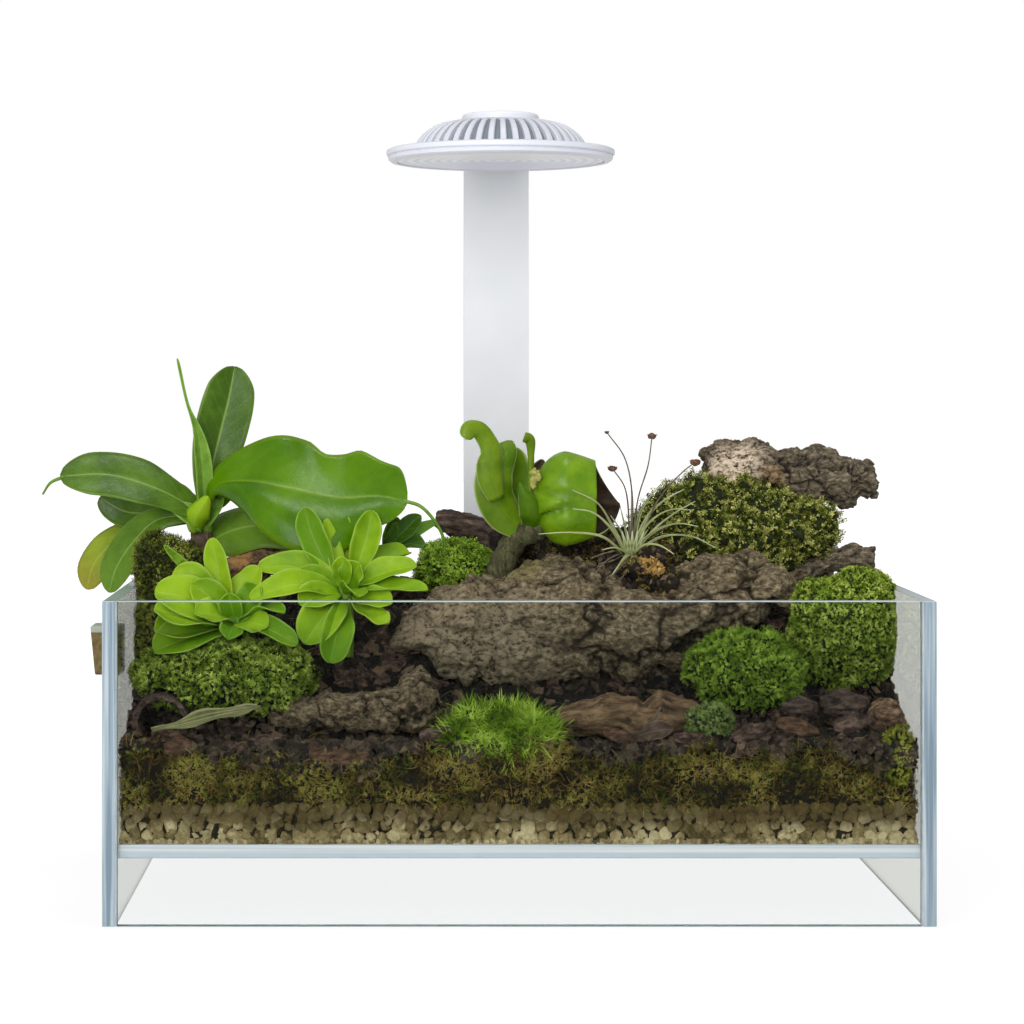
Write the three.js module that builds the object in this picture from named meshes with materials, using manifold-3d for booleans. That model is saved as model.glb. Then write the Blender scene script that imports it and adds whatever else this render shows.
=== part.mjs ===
// Glass plant terrarium: a rimless planted tank on its own glass skirt, filled from the floor up with
// gravel, moss peat and soil, with a round lamp on a flat post behind the back wall.
// Millimetres, +Z up, front towards -Y. Until the last lines the frame is the tank's: its middle at
// x = 0, its front face at y = -100 and its bottom edges at z = 0.
import * as THREE from 'three';
import { mergeVertices } from 'three/addons/utils/BufferGeometryUtils.js';
import Module from 'manifold-3d';

const wasm = await Module();
wasm.setup();

// ---- driving dimensions ----
const TANK = { width: 300, depth: 160, height: 117, glass: 5, floorTop: 29 };
const FRONT = -100;
const LAMP = { x: -3, y: 10, ringRadius: 45.9, underside: 284, ringHeight: 5.3, domeRadius: 33.2 };
const POST = { width: 27.4, thickness: 6, bottom: 60, top: 294 };
const CLEARANCE = 0.3;
const BLADE = 0.8;
const SLOTS = 32;

const BACK = FRONT + TANK.depth;
const INNER_X = TANK.width / 2 - TANK.glass;
const INNER_FRONT = FRONT + TANK.glass;
const INNER_BACK = BACK - TANK.glass;
const MIDDLE_Y = (FRONT + BACK) / 2;

// ---- solids: making, joining, cutting ----
function solid(geometry) {
  const bare = geometry.clone();
  bare.deleteAttribute('normal');
  bare.deleteAttribute('uv');
  const merged = mergeVertices(bare, 1e-4);
  return new wasm.Manifold(new wasm.Mesh({
    numProp: 3,
    vertProperties: new Float32Array(merged.attributes.position.array),
    triVerts: new Uint32Array(merged.index.array),
  }));
}

function closed(points, faces) {
  const volume = faces.reduce((sum, [a, b, c]) => {
    return sum + points[a].dot(points[b].clone().cross(points[c]));
  }, 0);
  const outward = volume > 0 ? faces : faces.map(([a, b, c]) => [a, c, b]);
  return new wasm.Manifold(new wasm.Mesh({
    numProp: 3,
    vertProperties: new Float32Array(points.flatMap((p) => p.toArray())),
    triVerts: new Uint32Array(outward.flat()),
  }));
}

function geometryOf(manifold) {
  const { vertProperties, triVerts } = manifold.getMesh();
  const geometry = new THREE.BufferGeometry();
  geometry.setAttribute('position', new THREE.BufferAttribute(vertProperties, 3));
  geometry.setIndex(new THREE.BufferAttribute(triVerts, 1));
  return geometry;
}

// The same body with every vertex moved out along its normal: what a neighbour is cut back to.
function grown(manifold, distance) {
  const geometry = mergeVertices(geometryOf(manifold), 1e-4);
  geometry.computeVertexNormals();
  const { position, normal } = geometry.attributes;
  const moved = new Float32Array(position.array);
  for (let i = 0; i < moved.length; i += 1) moved[i] += normal.array[i] * distance;
  return new wasm.Manifold(new wasm.Mesh({
    numProp: 3,
    vertProperties: moved,
    triVerts: new Uint32Array(geometry.index.array),
  }));
}

function largestPiece(manifold) {
  return manifold.decompose().reduce((best, piece) => (piece.volume() > best.volume() ? piece : best));
}

const join = (pieces) => pieces.reduce((whole, piece) => whole.add(piece));

function box(minX, maxX, minY, maxY, minZ, maxZ) {
  const geometry = new THREE.BoxGeometry(maxX - minX, maxY - minY, maxZ - minZ);
  return solid(geometry.translate((minX + maxX) / 2, (minY + maxY) / 2, (minZ + maxZ) / 2));
}

// ---- chance and roughness, always the same for the same seed ----
function draws(seed) {
  let state = seed;
  return () => {
    state = (state * 1664525 + 1013904223) % 4294967296;
    return state / 4294967296;
  };
}

function corner(i, j, k) {
  const value = Math.sin(i * 127.1 + j * 311.7 + k * 74.7) * 43758.5453;
  return value - Math.floor(value);
}

// Smooth noise from -1 to 1 with lumps about one grain across.
function noise(point, grain) {
  const cell = [point.x / grain, point.y / grain, point.z / grain];
  const low = cell.map(Math.floor);
  const part = cell.map((value, axis) => THREE.MathUtils.smoothstep(value - low[axis], 0, 1));
  let sum = 0;
  for (let n = 0; n < 8; n += 1) {
    const step = [n & 1, (n >> 1) & 1, (n >> 2) & 1];
    const weight = step.reduce((w, s, axis) => w * (s ? part[axis] : 1 - part[axis]), 1);
    sum += weight * corner(low[0] + step[0], low[1] + step[1], low[2] + step[2]);
  }
  return sum * 2 - 1;
}

const vector = ([x, y, z]) => new THREE.Vector3(x, y, z);

// A value between the entries of a list, at t from 0 to 1.
function along(list, t) {
  const place = t * (list.length - 1);
  const low = Math.min(Math.floor(place), list.length - 2);
  const part = place - low;
  return list[low] * (1 - part) + list[low + 1] * part;
}

// ---- natural shapes ----
// A leaf: a thin blade along its midrib, as wide as its list of half widths, its upper side towards
// face, its edges lifted by cup and rippled by wave.
function leaf({ midrib, halfWidths, face, cup = 0.25, wave = 0, steps = 5, across = 2 }) {
  const curve = new THREE.CatmullRomCurve3(midrib.map(vector));
  const upper = [];
  const lower = [];
  for (let i = 0; i <= steps; i += 1) {
    const t = i / steps;
    const centre = curve.getPoint(t);
    const direction = curve.getTangent(t);
    const side = direction.clone().cross(vector(face)).normalize();
    const normal = side.clone().cross(direction).normalize();
    const half = Math.max(along(halfWidths, t), 0.4);
    for (let j = 0; j <= across; j += 1) {
      const s = (2 * j) / across - 1;
      const ripple = wave * Math.sin(t * 14 + (s > 0 ? 0 : 1.7)) * Math.abs(s);
      const lift = cup * half * s * s + ripple;
      const point = centre.clone().addScaledVector(side, half * s).addScaledVector(normal, lift);
      upper.push(point.clone().addScaledVector(normal, BLADE / 2));
      lower.push(point.clone().addScaledVector(normal, -BLADE / 2));
    }
  }
  const row = across + 1;
  const offset = upper.length;
  const faces = [];
  const edge = [];
  for (let i = 0; i < steps; i += 1) {
    for (let j = 0; j < across; j += 1) {
      const a = i * row + j;
      const [b, c, d] = [a + 1, a + row + 1, a + row];
      faces.push([a, b, c], [a, c, d]);
      faces.push([offset + a, offset + c, offset + b], [offset + a, offset + d, offset + c]);
    }
  }
  for (let j = 0; j < across; j += 1) edge.push(j);
  for (let i = 0; i < steps; i += 1) edge.push(i * row + across);
  for (let j = across; j > 0; j -= 1) edge.push(steps * row + j);
  for (let i = steps; i > 0; i -= 1) edge.push(i * row);
  edge.forEach((a, n) => {
    const b = edge[(n + 1) % edge.length];
    faces.push([a, offset + a, offset + b], [a, offset + b, b]);
  });
  return closed([...upper, ...lower], faces);
}

// A log, root or slab of bark: rings round a path, roughened, closed at both ends.
function log({ path, heights, depth, relief = 2, grain = 9, steps = 11, around = 10 }) {
  const curve = new THREE.CatmullRomCurve3(path.map(vector));
  const points = [];
  const faces = [];
  for (let i = 0; i <= steps; i += 1) {
    const t = i / steps;
    const centre = curve.getPoint(t);
    const direction = curve.getTangent(t);
    const level = new THREE.Vector3(0, 0, 1).cross(direction).normalize();
    const rise = direction.clone().cross(level);
    const height = along(heights, t);
    const width = depth * Math.min(1, height / Math.max(...heights) + 0.3);
    for (let j = 0; j < around; j += 1) {
      const turn = (j / around) * Math.PI * 2;
      const out = level.clone().multiplyScalar(Math.cos(turn) * width);
      out.addScaledVector(rise, Math.sin(turn) * height);
      const point = centre.clone().add(out);
      const rough = relief * (noise(point, grain) + 0.5 * noise(point, grain / 2.5));
      points.push(point.addScaledVector(out.normalize(), rough));
    }
  }
  for (let i = 0; i < steps; i += 1) {
    for (let j = 0; j < around; j += 1) {
      const a = i * around + j;
      const b = i * around + ((j + 1) % around);
      faces.push([a, b, b + around], [a, b + around, a + around]);
    }
  }
  const first = points.push(curve.getPoint(0)) - 1;
  const last = points.push(curve.getPoint(1)) - 1;
  for (let j = 0; j < around; j += 1) {
    const next = (j + 1) % around;
    faces.push([first, next, j], [last, steps * around + j, steps * around + next]);
  }
  return closed(points, faces);
}

// A stem, stalk or root: a round bar along a curve.
function stem(path, radius, { steps = 4, sides = 6 } = {}) {
  const outline = Array.from({ length: sides }, (_, n) => {
    const turn = (n / sides) * Math.PI * 2;
    return new THREE.Vector2(Math.cos(turn) * radius, Math.sin(turn) * radius);
  });
  const curve = new THREE.CatmullRomCurve3(path.map(vector));
  const bar = new THREE.ExtrudeGeometry(new THREE.Shape(outline), { steps, extrudePath: curve });
  return solid(bar);
}

// A rough mound, ball or cushion with its middle at centre.
function mound({ centre, half, relief = 0.12, grain = 6, detail = 3 }) {
  const geometry = mergeVertices(bareSphere(detail), 1e-5);
  const position = geometry.attributes.position;
  for (let n = 0; n < position.count; n += 1) {
    const unit = new THREE.Vector3().fromBufferAttribute(position, n);
    const spot = new THREE.Vector3(unit.x * half[0], unit.y * half[1], unit.z * half[2]);
    const place = spot.clone().add(vector(centre));
    spot.multiplyScalar(1 + relief * (noise(place, grain) + 0.7 * noise(place, grain / 2)));
    spot.add(vector(centre));
    position.setXYZ(n, spot.x, spot.y, spot.z);
  }
  return solid(geometry);
}

function bareSphere(detail) {
  const geometry = new THREE.IcosahedronGeometry(1, detail);
  geometry.deleteAttribute('normal');
  geometry.deleteAttribute('uv');
  return geometry;
}

// Blades or twigs that stand out of a mound, each a slim three-sided needle with its root sunk in.
function needles({ centre, half, count, length, width, seed, upright = 0.5 }) {
  const draw = draws(seed);
  const made = [];
  for (let n = 0; n < count; n += 1) {
    const turn = draw() * Math.PI * 2;
    const rise = 0.1 + 0.9 * draw();
    const flat = Math.sqrt(1 - rise * rise);
    const unit = new THREE.Vector3(Math.cos(turn) * flat, Math.sin(turn) * flat, rise);
    const foot = new THREE.Vector3(unit.x * half[0], unit.y * half[1], unit.z * half[2]);
    foot.multiplyScalar(0.86).add(vector(centre));
    const stray = new THREE.Vector3(draw() - 0.5, draw() - 0.5, upright * 2 * draw());
    const way = unit.clone().add(stray).normalize();
    const side = way.clone().cross(new THREE.Vector3(0.3, 1, 0.2)).normalize();
    const other = way.clone().cross(side);
    const tip = foot.clone().addScaledVector(way, length * (0.6 + 0.7 * draw()));
    const root = [0, 1, 2].map((k) => {
      const angle = (k / 3) * Math.PI * 2;
      return foot.clone().addScaledVector(side, Math.cos(angle) * width)
        .addScaledVector(other, Math.sin(angle) * width);
    });
    made.push(closed([...root, tip], [[0, 2, 1], [0, 1, 3], [1, 2, 3], [2, 0, 3]]));
  }
  return join(made);
}

// ---- the ground inside the tank ----
const AROUND = { x: 19, y: 10 };
const rim = [];
for (let n = 0; n < AROUND.x; n += 1) rim.push([-1 + (2 * n) / AROUND.x, -1]);
for (let n = 0; n < AROUND.y; n += 1) rim.push([1, -1 + (2 * n) / AROUND.y]);
for (let n = 0; n < AROUND.x; n += 1) rim.push([1 - (2 * n) / AROUND.x, 1]);
for (let n = 0; n < AROUND.y; n += 1) rim.push([-1, 1 - (2 * n) / AROUND.y]);

const bump = (x, y, atX, atY, reach, height) => {
  return height * Math.exp(-((x - atX) ** 2 + (y - atY) ** 2) / (reach * reach));
};
const gravelTop = (x, y) => 40.5 + 1.4 * noise(new THREE.Vector3(x, y, 3), 9);
const peatTop = (x, y) => 61.5 + 1.6 * noise(new THREE.Vector3(x, y, 40), 13);

// The soil climbs from the front glass to the back, with a heap under each plant.
function soilTop(x, y) {
  const slope = 65.5 + 50.5 * THREE.MathUtils.smoothstep(y, -80, 2);
  const heaps = bump(x, y, -64, -42, 20, 16) + bump(x, y, -106, -50, 18, 12)
    + bump(x, y, -122, 0, 18, 6);
  const rough = 1.4 * noise(new THREE.Vector3(x, y, 90), 12);
  return slope + heaps + rough - 6 * THREE.MathUtils.smoothstep(y, 20, 50);
}

// One layer between two surfaces. Its sides against the glass are rough, as grains and strands are.
function layer({ bottom, top, rows, rings, grain, relief }) {
  const points = [];
  const faces = [];
  const halfX = INNER_X - CLEARANCE;
  const halfY = TANK.depth / 2 - TANK.glass - CLEARANCE;
  const place = ([u, v], share) => [u * halfX * share, MIDDLE_Y + v * halfY * share];
  const count = rim.length;
  const shares = rings.concat([0]);
  for (let r = 0; r <= rows; r += 1) {
    rim.forEach((spot) => {
      const [x, y] = place(spot, 1);
      const z = bottom(x, y) + ((top(x, y) - bottom(x, y)) * r) / rows;
      const hollow = relief * (1 + noise(new THREE.Vector3(x, y, z), grain));
      const [roughX, roughY] = place(spot, r === 0 || r === rows ? 1 : 1 - hollow / 200);
      points.push(new THREE.Vector3(roughX, roughY, z));
    });
  }
  shares.slice(1, -1).forEach((share) => {
    rim.forEach((spot) => {
      const [x, y] = place(spot, share);
      points.push(new THREE.Vector3(x, y, top(x, y)));
    });
  });
  const rowsInAll = rows + shares.length - 2;
  for (let r = 0; r < rowsInAll; r += 1) {
    for (let n = 0; n < count; n += 1) {
      const a = r * count + n;
      const b = r * count + ((n + 1) % count);
      faces.push([a, b, b + count], [a, b + count, a + count]);
    }
  }
  const middleTop = points.push(new THREE.Vector3(0, MIDDLE_Y, top(0, MIDDLE_Y))) - 1;
  const middleBottom = points.push(new THREE.Vector3(0, MIDDLE_Y, bottom(0, MIDDLE_Y))) - 1;
  for (let n = 0; n < count; n += 1) {
    const next = (n + 1) % count;
    faces.push([middleTop, rowsInAll * count + n, rowsInAll * count + next]);
    faces.push([middleBottom, next, n]);
  }
  return closed(points, faces);
}

const gravel = layer({
  bottom: () => TANK.floorTop, top: gravelTop, rows: 2, rings: [1], grain: 5, relief: 1.6,
});
const peat = layer({
  bottom: (x, y) => gravelTop(x, y) + CLEARANCE, top: peatTop, rows: 2, rings: [1], grain: 6, relief: 2,
});
const soil = layer({
  bottom: (x, y) => peatTop(x, y) + CLEARANCE,
  top: soilTop,
  rows: 2,
  rings: [1, 0.8, 0.5],
  grain: 8,
  relief: 2,
});

// ---- pitcher plant at the left ----
function pitcherPlant() {
  const leaves = [
    { midrib: [[-122, -8, 144], [-138, -10, 153], [-158, -10, 159], [-177, -12, 158.5]],
      halfWidths: [2, 8, 11, 9.5, 1], face: [0.1, -0.75, 0.65] },
    { midrib: [[-122, -3, 143], [-139.5, 5, 143.3], [-154, 12, 143.4], [-165, 16, 149]],
      halfWidths: [2, 7, 8, 6, 1], face: [0.1, -0.8, 0.55] },
    { midrib: [[-122, -6, 143], [-139.5, -4, 141], [-148.5, -2, 133], [-156, -1, 122], [-159, -1, 112]],
      halfWidths: [1.5, 5, 8, 7.5, 4.5, 0.8], face: [-0.35, -0.85, 0.35] },
    { midrib: [[-123, 1, 141], [-150, 6, 139], [-164, 8, 131], [-170.5, 8, 121], [-172, 8, 112]],
      halfWidths: [1, 4, 7, 7, 4.5, 0.8], face: [-0.3, -0.9, 0.3] },
    { midrib: [[-120.5, -7, 144], [-118, -5, 161], [-113.5, -2, 177], [-109.5, 1, 190], [-107, 3, 202]],
      halfWidths: [2.5, 8, 11, 10.5, 8, 2], face: [0.15, -0.95, 0.2], cup: 0.35 },
    { midrib: [[-120.5, -10, 146], [-121.5, -12, 165], [-123.5, -12, 177], [-127, -12, 187],
      [-131, -12, 205]],
      halfWidths: [3.5, 4, 3.2, 2, 1, 0.6], face: [0.3, -0.95, 0], cup: 0.5 },
    { midrib: [[-125, -10, 136], [-123.5, -15, 143], [-118.5, -16, 151]],
      halfWidths: [2, 4.5, 3.5, 0.5], face: [0, -0.9, 0.3], steps: 4, cup: 0.5 },
    { midrib: [[-122, -5, 140], [-129, -3, 147], [-133, -1, 152], [-136, 1, 155]],
      halfWidths: [2.5, 4.5, 4.5, 1], face: [0.2, -0.9, 0.4], steps: 4 },
    { midrib: [[-121, -4, 144], [-116, 0, 149], [-110, 2, 153.5]],
      halfWidths: [2, 4.5, 3], face: [0, -0.9, 0.4], steps: 4 },
    { midrib: [[-121, -4, 131], [-111, -4, 136.5], [-98, -8, 139], [-83, -12, 135], [-71, -16, 130]],
      halfWidths: [2, 7.5, 9, 8, 5, 1], face: [0.1, -0.7, 0.7] },
    { midrib: [[-120, -8, 146], [-115, -18, 155], [-101, -26, 157], [-85.5, -30, 154.5], [-66, -32, 151],
      [-51, -32, 151.5], [-40.5, -32, 149.5]],
      halfWidths: [1.5, 3, 14, 21, 20.5, 18, 16, 2], face: [0, -0.8, 0.6], cup: 0.12, wave: 0.7,
      steps: 10, across: 4 },
  ];
  const stems = [
    stem([[-120, -3, 112], [-121, -4, 131], [-121, -6, 139], [-120, -7, 148]], 3.2),
    stem([[-175.5, -12, 158.5], [-181, -12, 156], [-184, -12, 151.5]], 0.7, { sides: 4 }),
    stem([[-42, -32, 150], [-35.5, -33, 148], [-30.5, -32, 143], [-27, -30, 137], [-25.5, -27, 131]], 0.7,
      { steps: 5, sides: 4 }),
  ];
  return { shape: join([...stems, ...leaves.map(leaf)]), roots: stems[0] };
}

// ---- the two rosettes ----
function rosetteRight() {
  const crown = [-64, -50];
  const leaves = [
    [[[-66.7, -50, 118], [-72, -47, 128], [-77, -46, 139], [-79.5, -46, 148]],
      [1.2, 3.5, 5.3, 5.2, 1.5], [0, -1, 0.3]],
    [[[-62, -50, 118], [-58.5, -47, 128.5], [-55.5, -46, 138.5], [-54, -46, 147]],
      [1.2, 3.5, 5.3, 5.2, 1.5], [-0.15, -1, 0.25]],
    [[[-61, -50, 118], [-52.6, -51, 122], [-44, -52, 124.7], [-36.7, -53, 126]],
      [1.2, 4.5, 5.5, 4.5, 1], [0, -0.6, 0.8]],
    [[[-61, -52, 117], [-51.4, -56, 118], [-41.2, -58, 118], [-32.6, -60, 117.7]],
      [1.2, 4.5, 5.5, 4.5, 1], [0, -0.5, 0.87]],
    [[[-63, -49, 118], [-53, -42, 124.5], [-45, -38, 129], [-39.4, -35, 130]],
      [1.2, 5, 6, 5, 1], [0, -0.6, 0.8]],
    [[[-64, -53, 116], [-61, -62, 118], [-58.7, -68, 116]], [1.2, 4.5, 5, 3], [0, -0.3, 0.95]],
    [[[-65.8, -52, 114], [-70, -62, 110], [-74.7, -68, 104], [-78.4, -71, 99]],
      [1.2, 6.5, 8, 7, 2], [-0.2, -0.9, 0.35]],
    [[[-64.9, -53, 113], [-66, -66, 106], [-67.5, -71, 98.5], [-69, -72, 92]],
      [1.2, 4.5, 6, 5.5, 1.5], [0, -0.97, 0.2]],
    [[[-62, -52, 114], [-56.3, -60, 110], [-51.4, -64, 107.5], [-47.2, -66, 106]],
      [1.2, 4, 5, 4.5, 1.5], [0.2, -0.9, 0.3]],
    [[[-67, -50, 118], [-75.5, -49, 123], [-85, -49, 125.7], [-97, -48, 125]],
      [1.2, 5, 6, 5.5, 1.5], [0, -0.6, 0.8]],
    [[[-67, -52, 116], [-77, -58, 119.5], [-88, -62, 118.7], [-99, -64, 114.4]],
      [1.2, 5, 6, 5, 1.2], [0, -0.55, 0.83]],
    [[[-64, -49, 117], [-63.5, -42, 127], [-63, -40, 135.5], [-63, -40, 144]],
      [1.2, 2.5, 2.5, 2, 0.8], [0, -0.95, 0.2]],
    [[[-65, -50, 118], [-68, -45, 130], [-71.5, -43, 143.5]], [1.2, 3.5, 3, 0.8], [0.5, -0.8, 0.2]],
    [[[-63, -51, 117], [-60.5, -54, 123], [-58, -56, 127.5]], [1.2, 5, 5.5, 2], [0, -0.85, 0.5]],
    [[[-64.2, -49, 117], [-68.5, -35, 121], [-73, -24, 122.6]], [1.2, 5.5, 6, 2], [0, -0.2, 0.95]],
    [[[-61.6, -49, 117], [-55, -36, 122], [-49, -28, 125]], [1.2, 5, 5.5, 2], [0, -0.2, 0.95]],
  ];
  return rosette(crown, [92, 119], leaves);
}

function rosetteLeft() {
  const crown = [-105, -58];
  const leaves = [
    [[[-106, -57, 105], [-109.7, -55, 117], [-112, -54, 126.5], [-114, -54, 137]],
      [1.2, 3.5, 4.5, 4.5, 1.2], [0.1, -0.97, 0.1]],
    [[[-104.6, -57, 105], [-102.6, -54, 114.4], [-99, -53, 121], [-96, -53, 126]],
      [1.2, 5, 6.5, 5, 1.5], [-0.2, -0.9, 0.4]],
    [[[-106, -57, 106], [-114, -52, 116], [-123, -48, 124.3], [-133, -46, 133.7]],
      [1.2, 2.5, 2.5, 2, 0.8], [0, -0.8, 0.6]],
    [[[-106, -58, 106], [-116, -61, 111], [-125.4, -63, 115.4], [-134.6, -64, 117.3]],
      [1.2, 6, 8, 7.5, 3], [0, -0.75, 0.65]],
    [[[-106, -60, 105], [-114.6, -68, 103], [-124, -73, 100], [-133.6, -75, 96.4]],
      [1.2, 6.5, 8, 7, 1.5], [0, -0.75, 0.65]],
    [[[-106, -59, 105], [-116, -66, 106.5], [-125, -70, 108.7], [-134, -71, 112]],
      [1.2, 5.5, 6.5, 5.5, 1.2], [0, -0.7, 0.7]],
    [[[-104, -59, 105], [-95, -68, 105], [-87, -73, 102], [-81, -75, 98.5]],
      [1.2, 4, 4.5, 4, 1], [0, -0.7, 0.7]],
    [[[-104, -58, 106], [-97, -61, 110], [-91, -66, 111.5], [-86, -70, 110]],
      [1.2, 4, 4.5, 3.5, 1], [0, -0.6, 0.8]],
    [[[-105, -56, 106], [-101, -42, 110], [-98.5, -32, 112]], [1.2, 5, 5.5, 2], [0, -0.2, 0.97]],
    [[[-106, -56, 106], [-114, -42, 111], [-120.5, -32, 113]], [1.2, 5, 5.5, 2], [0, -0.2, 0.97]],
    [[[-105, -60, 105], [-105.5, -70, 104], [-106.5, -77, 101]], [1.2, 4.5, 4.5, 2], [0, -0.6, 0.8]],
  ];
  return rosette(crown, [86, 108], leaves);
}

function rosette([x, y], [low, high], leaves) {
  const blades = leaves.map(([midrib, halfWidths, face]) => {
    return leaf({ midrib, halfWidths, face, steps: 3 });
  });
  const roots = stem([[x, y, low], [x, y, high]], 3.4, { steps: 1, sides: 8 });
  return { shape: join([roots, ...blades]), roots };
}

// ---- small creeper behind the rosettes ----
function creeper() {
  const leaves = [
    [[[-49, -16, 131], [-43, -16, 136], [-38, -16, 141], [-35, -16, 143.5]],
      [1.5, 3, 4, 3, 1], [0, -0.95, 0.3]],
    [[[-49, -14, 129], [-46.4, -14, 138], [-44, -14, 142.6]], [1.5, 3.5, 3, 1], [0.4, -0.9, 0.2]],
    [[[-46, -13, 129], [-37.4, -10, 136], [-28.3, -8, 140.6]], [2, 3.5, 1.5], [0, -0.6, 0.8]],
    [[[-49, -15, 128], [-40, -16, 132], [-33, -18, 131]], [3, 6, 5, 1], [0, -0.5, 0.85]],
  ];
  const blades = leaves.map(([midrib, halfWidths, face]) => {
    return leaf({ midrib, halfWidths, face, steps: 3 });
  });
  const roots = stem([[-48, -14, 108], [-48, -14, 131]], 1.6, { steps: 1 });
  return { shape: join([roots, ...blades]), roots };
}

// ---- pouch plant in the middle: hooked fleshy leaves and a ball with an open mouth ----
function pouchPlant() {
  const fleshy = [
    { midrib: [[4.5, -34, 137], [-3, -38, 145], [-8.5, -40, 154.5], [-10.5, -40, 165], [-11.5, -40, 174],
      [-14, -41, 180], [-17.5, -43, 181], [-18, -44, 177]],
      halfWidths: [4, 9, 9, 5.5, 4.5, 4.2, 3.5, 1.5], face: [0.3, -0.9, 0.2], steps: 9 },
    { midrib: [[5, -31, 137], [0.5, -27, 150], [-1, -25, 161.5], [0.5, -25, 172]],
      halfWidths: [3, 8, 8, 3.5], face: [-0.2, -0.95, 0.1] },
    { midrib: [[9, -36, 137], [8, -43, 145], [5, -44, 151.5], [3, -43, 157.5]],
      halfWidths: [5, 6, 3.5, 0.6], face: [0, -1, 0] },
    { midrib: [[7, -30, 150], [7.5, -29, 167.5], [6.7, -30, 174], [4.7, -32, 176]],
      halfWidths: [1.2, 1.2, 2, 1.8], face: [0, -1, 0], steps: 4 },
  ];
  const round = ([centre, half], detail = 2) => mound({ centre, half, relief: 0.02, grain: 12, detail });
  const ball = round([[21.5, -38, 155], [12.8, 12, 17]]);
  const lobe = round([[22.5, -40, 141.5], [9.8, 11, 8]], 1);
  const mouth = round([[37, -42, 155], [9, 9, 15]], 1);
  const hood = leaf({
    midrib: [[25, -31, 167], [35, -31, 162.5], [39.5, -32, 154], [42, -34, 144]],
    halfWidths: [3, 5, 6.5, 5.5, 1], face: [-0.4, -0.9, 0.1], cup: 0.5,
  });
  const roots = stem([[-7, -28, 116], [-2, -30, 128], [4, -33, 138], [12, -36, 142]], 4.2, { sides: 8 });
  return { shape: join([ball.add(lobe).subtract(mouth), hood, roots, ...fleshy.map(leaf)]), roots };
}

// ---- pale thin-leaved plant: ribbon leaves, flower stalks with dry heads, roots over the log ----
function thinLeavedPlant() {
  const ribbons = [
    [[43, -40, 133], [37.5, -45, 143], [31.5, -50, 151], [22, -53.5, 155]],
    [[43, -42, 132], [36, -50, 142], [29.5, -53, 147], [22, -54.5, 148]],
    [[42, -43, 132], [32.5, -53, 138.5], [21, -55, 139], [9, -55, 139]],
    [[46, -40, 133], [52, -42, 143], [60, -43, 147], [66.5, -44, 146.5]],
    [[46, -38, 133], [52, -36, 144.5], [59, -34, 150.5], [66.5, -33, 154.5]],
    [[46, -38, 133], [49, -36, 146], [53, -34, 151.5], [58, -33, 156.5]],
    [[47, -42, 132], [56, -44, 137], [67.5, -44, 137], [77.5, -44, 133]],
    [[44, -44, 132], [41, -50, 128.5], [37, -53, 124]],
    [[48, -38, 132], [53, -42, 131], [57.5, -45, 128]],
    [[47.5, -34, 132], [52.5, -22, 138], [57.5, -13, 141]],
    [[45.5, -37, 133], [46, -34, 144.5], [46, -32, 154]],
  ];
  const stalks = [
    [[45, -38, 132], [46, -38, 150.5], [43, -39, 166.5], [36, -40, 176.5]],
    [[46, -38, 132], [48, -38, 150.5], [52, -38, 164], [53.5, -38, 175]],
    [[47, -38, 132], [56.5, -38, 151.5], [65.5, -38, 161.5], [70, -38, 165]],
    [[45, -36, 132], [44.5, -33, 150], [43, -34, 156], [38.5, -35, 162.5]],
  ];
  const aerialRoots = [
    [[44, -40, 131], [38, -47, 128], [32, -52, 127]],
    [[45, -42, 131], [42, -51, 125], [40, -57, 118]],
    [[46, -42, 131], [47, -50, 124], [46, -55, 116]],
  ];
  const crown = mound({ centre: [45.2, -39, 130], half: [4, 4, 5], detail: 0 });
  const foot = stem([[45, -38, 112], [45, -38, 130]], 3, { steps: 2 });
  const blades = ribbons.map((midrib) => {
    return leaf({ midrib, halfWidths: [1.3, 1.5, 1.1, 0.6], face: [0, -0.8, 0.6], steps: 3, across: 1 });
  });
  const heads = stalks.map((path, n) => {
    const size = n === 0 ? 1.1 : 2;
    return mound({ centre: path[3], half: [size, size * 0.9, size * 0.8], detail: 0 });
  });
  const bars = [...stalks, ...aerialRoots].map((path) => stem(path, 0.6, { sides: 4 }));
  return { shape: join([foot, crown, ...blades, ...bars, ...heads]), roots: foot };
}

// ---- wood and bark ----
const mainLog = log({
  path: [[-43, -38, 101], [-24, -38, 99], [-5, -38, 100], [22, -38, 103], [49, -38, 100], [68, -38, 108],
    [89, -37, 116], [110, -36, 117]],
  heights: [7, 20, 23.5, 26, 19, 16.5, 15.5, 6],
  depth: 19,
  relief: 2.2,
  steps: 16,
  around: 11,
});
const leftLog = log({
  path: [[-90, -72, 73], [-68, -74, 73.5], [-45, -74, 74], [-30, -68, 80]],
  heights: [5, 8.5, 9, 12],
  depth: 10,
  relief: 1.8,
  grain: 7,
});
const corkTop = log({
  path: [[80, 6, 160], [95, 8, 162], [112, 10, 158], [130, 10, 157], [146, 10, 157]],
  heights: [7, 10, 10, 12, 6],
  depth: 13,
  relief: 2.6,
  grain: 8,
});
const rightBranch = log({
  path: [[108, -16, 119], [122, -15, 124], [134, -15, 127], [143, -15, 126]],
  heights: [4, 5, 5.5, 6],
  depth: 6,
  relief: 1.4,
  grain: 6,
  steps: 9,
  around: 9,
});
const rightRoot = log({
  path: [[16, -77, 70], [30, -78, 72], [38, -79, 74], [44, -79, 70], [55, -79, 74], [70, -77, 69]],
  heights: [5, 9, 10, 8, 10, 5],
  depth: 10,
  relief: 1.4,
  steps: 9,
  around: 8,
});
const backBark = log({
  path: [[-115, -8, 121], [-98, -6, 125], [-80, -6, 124]],
  heights: [5, 7, 5],
  depth: 8,
  relief: 1.6,
  grain: 6,
  steps: 8,
  around: 8,
});
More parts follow.
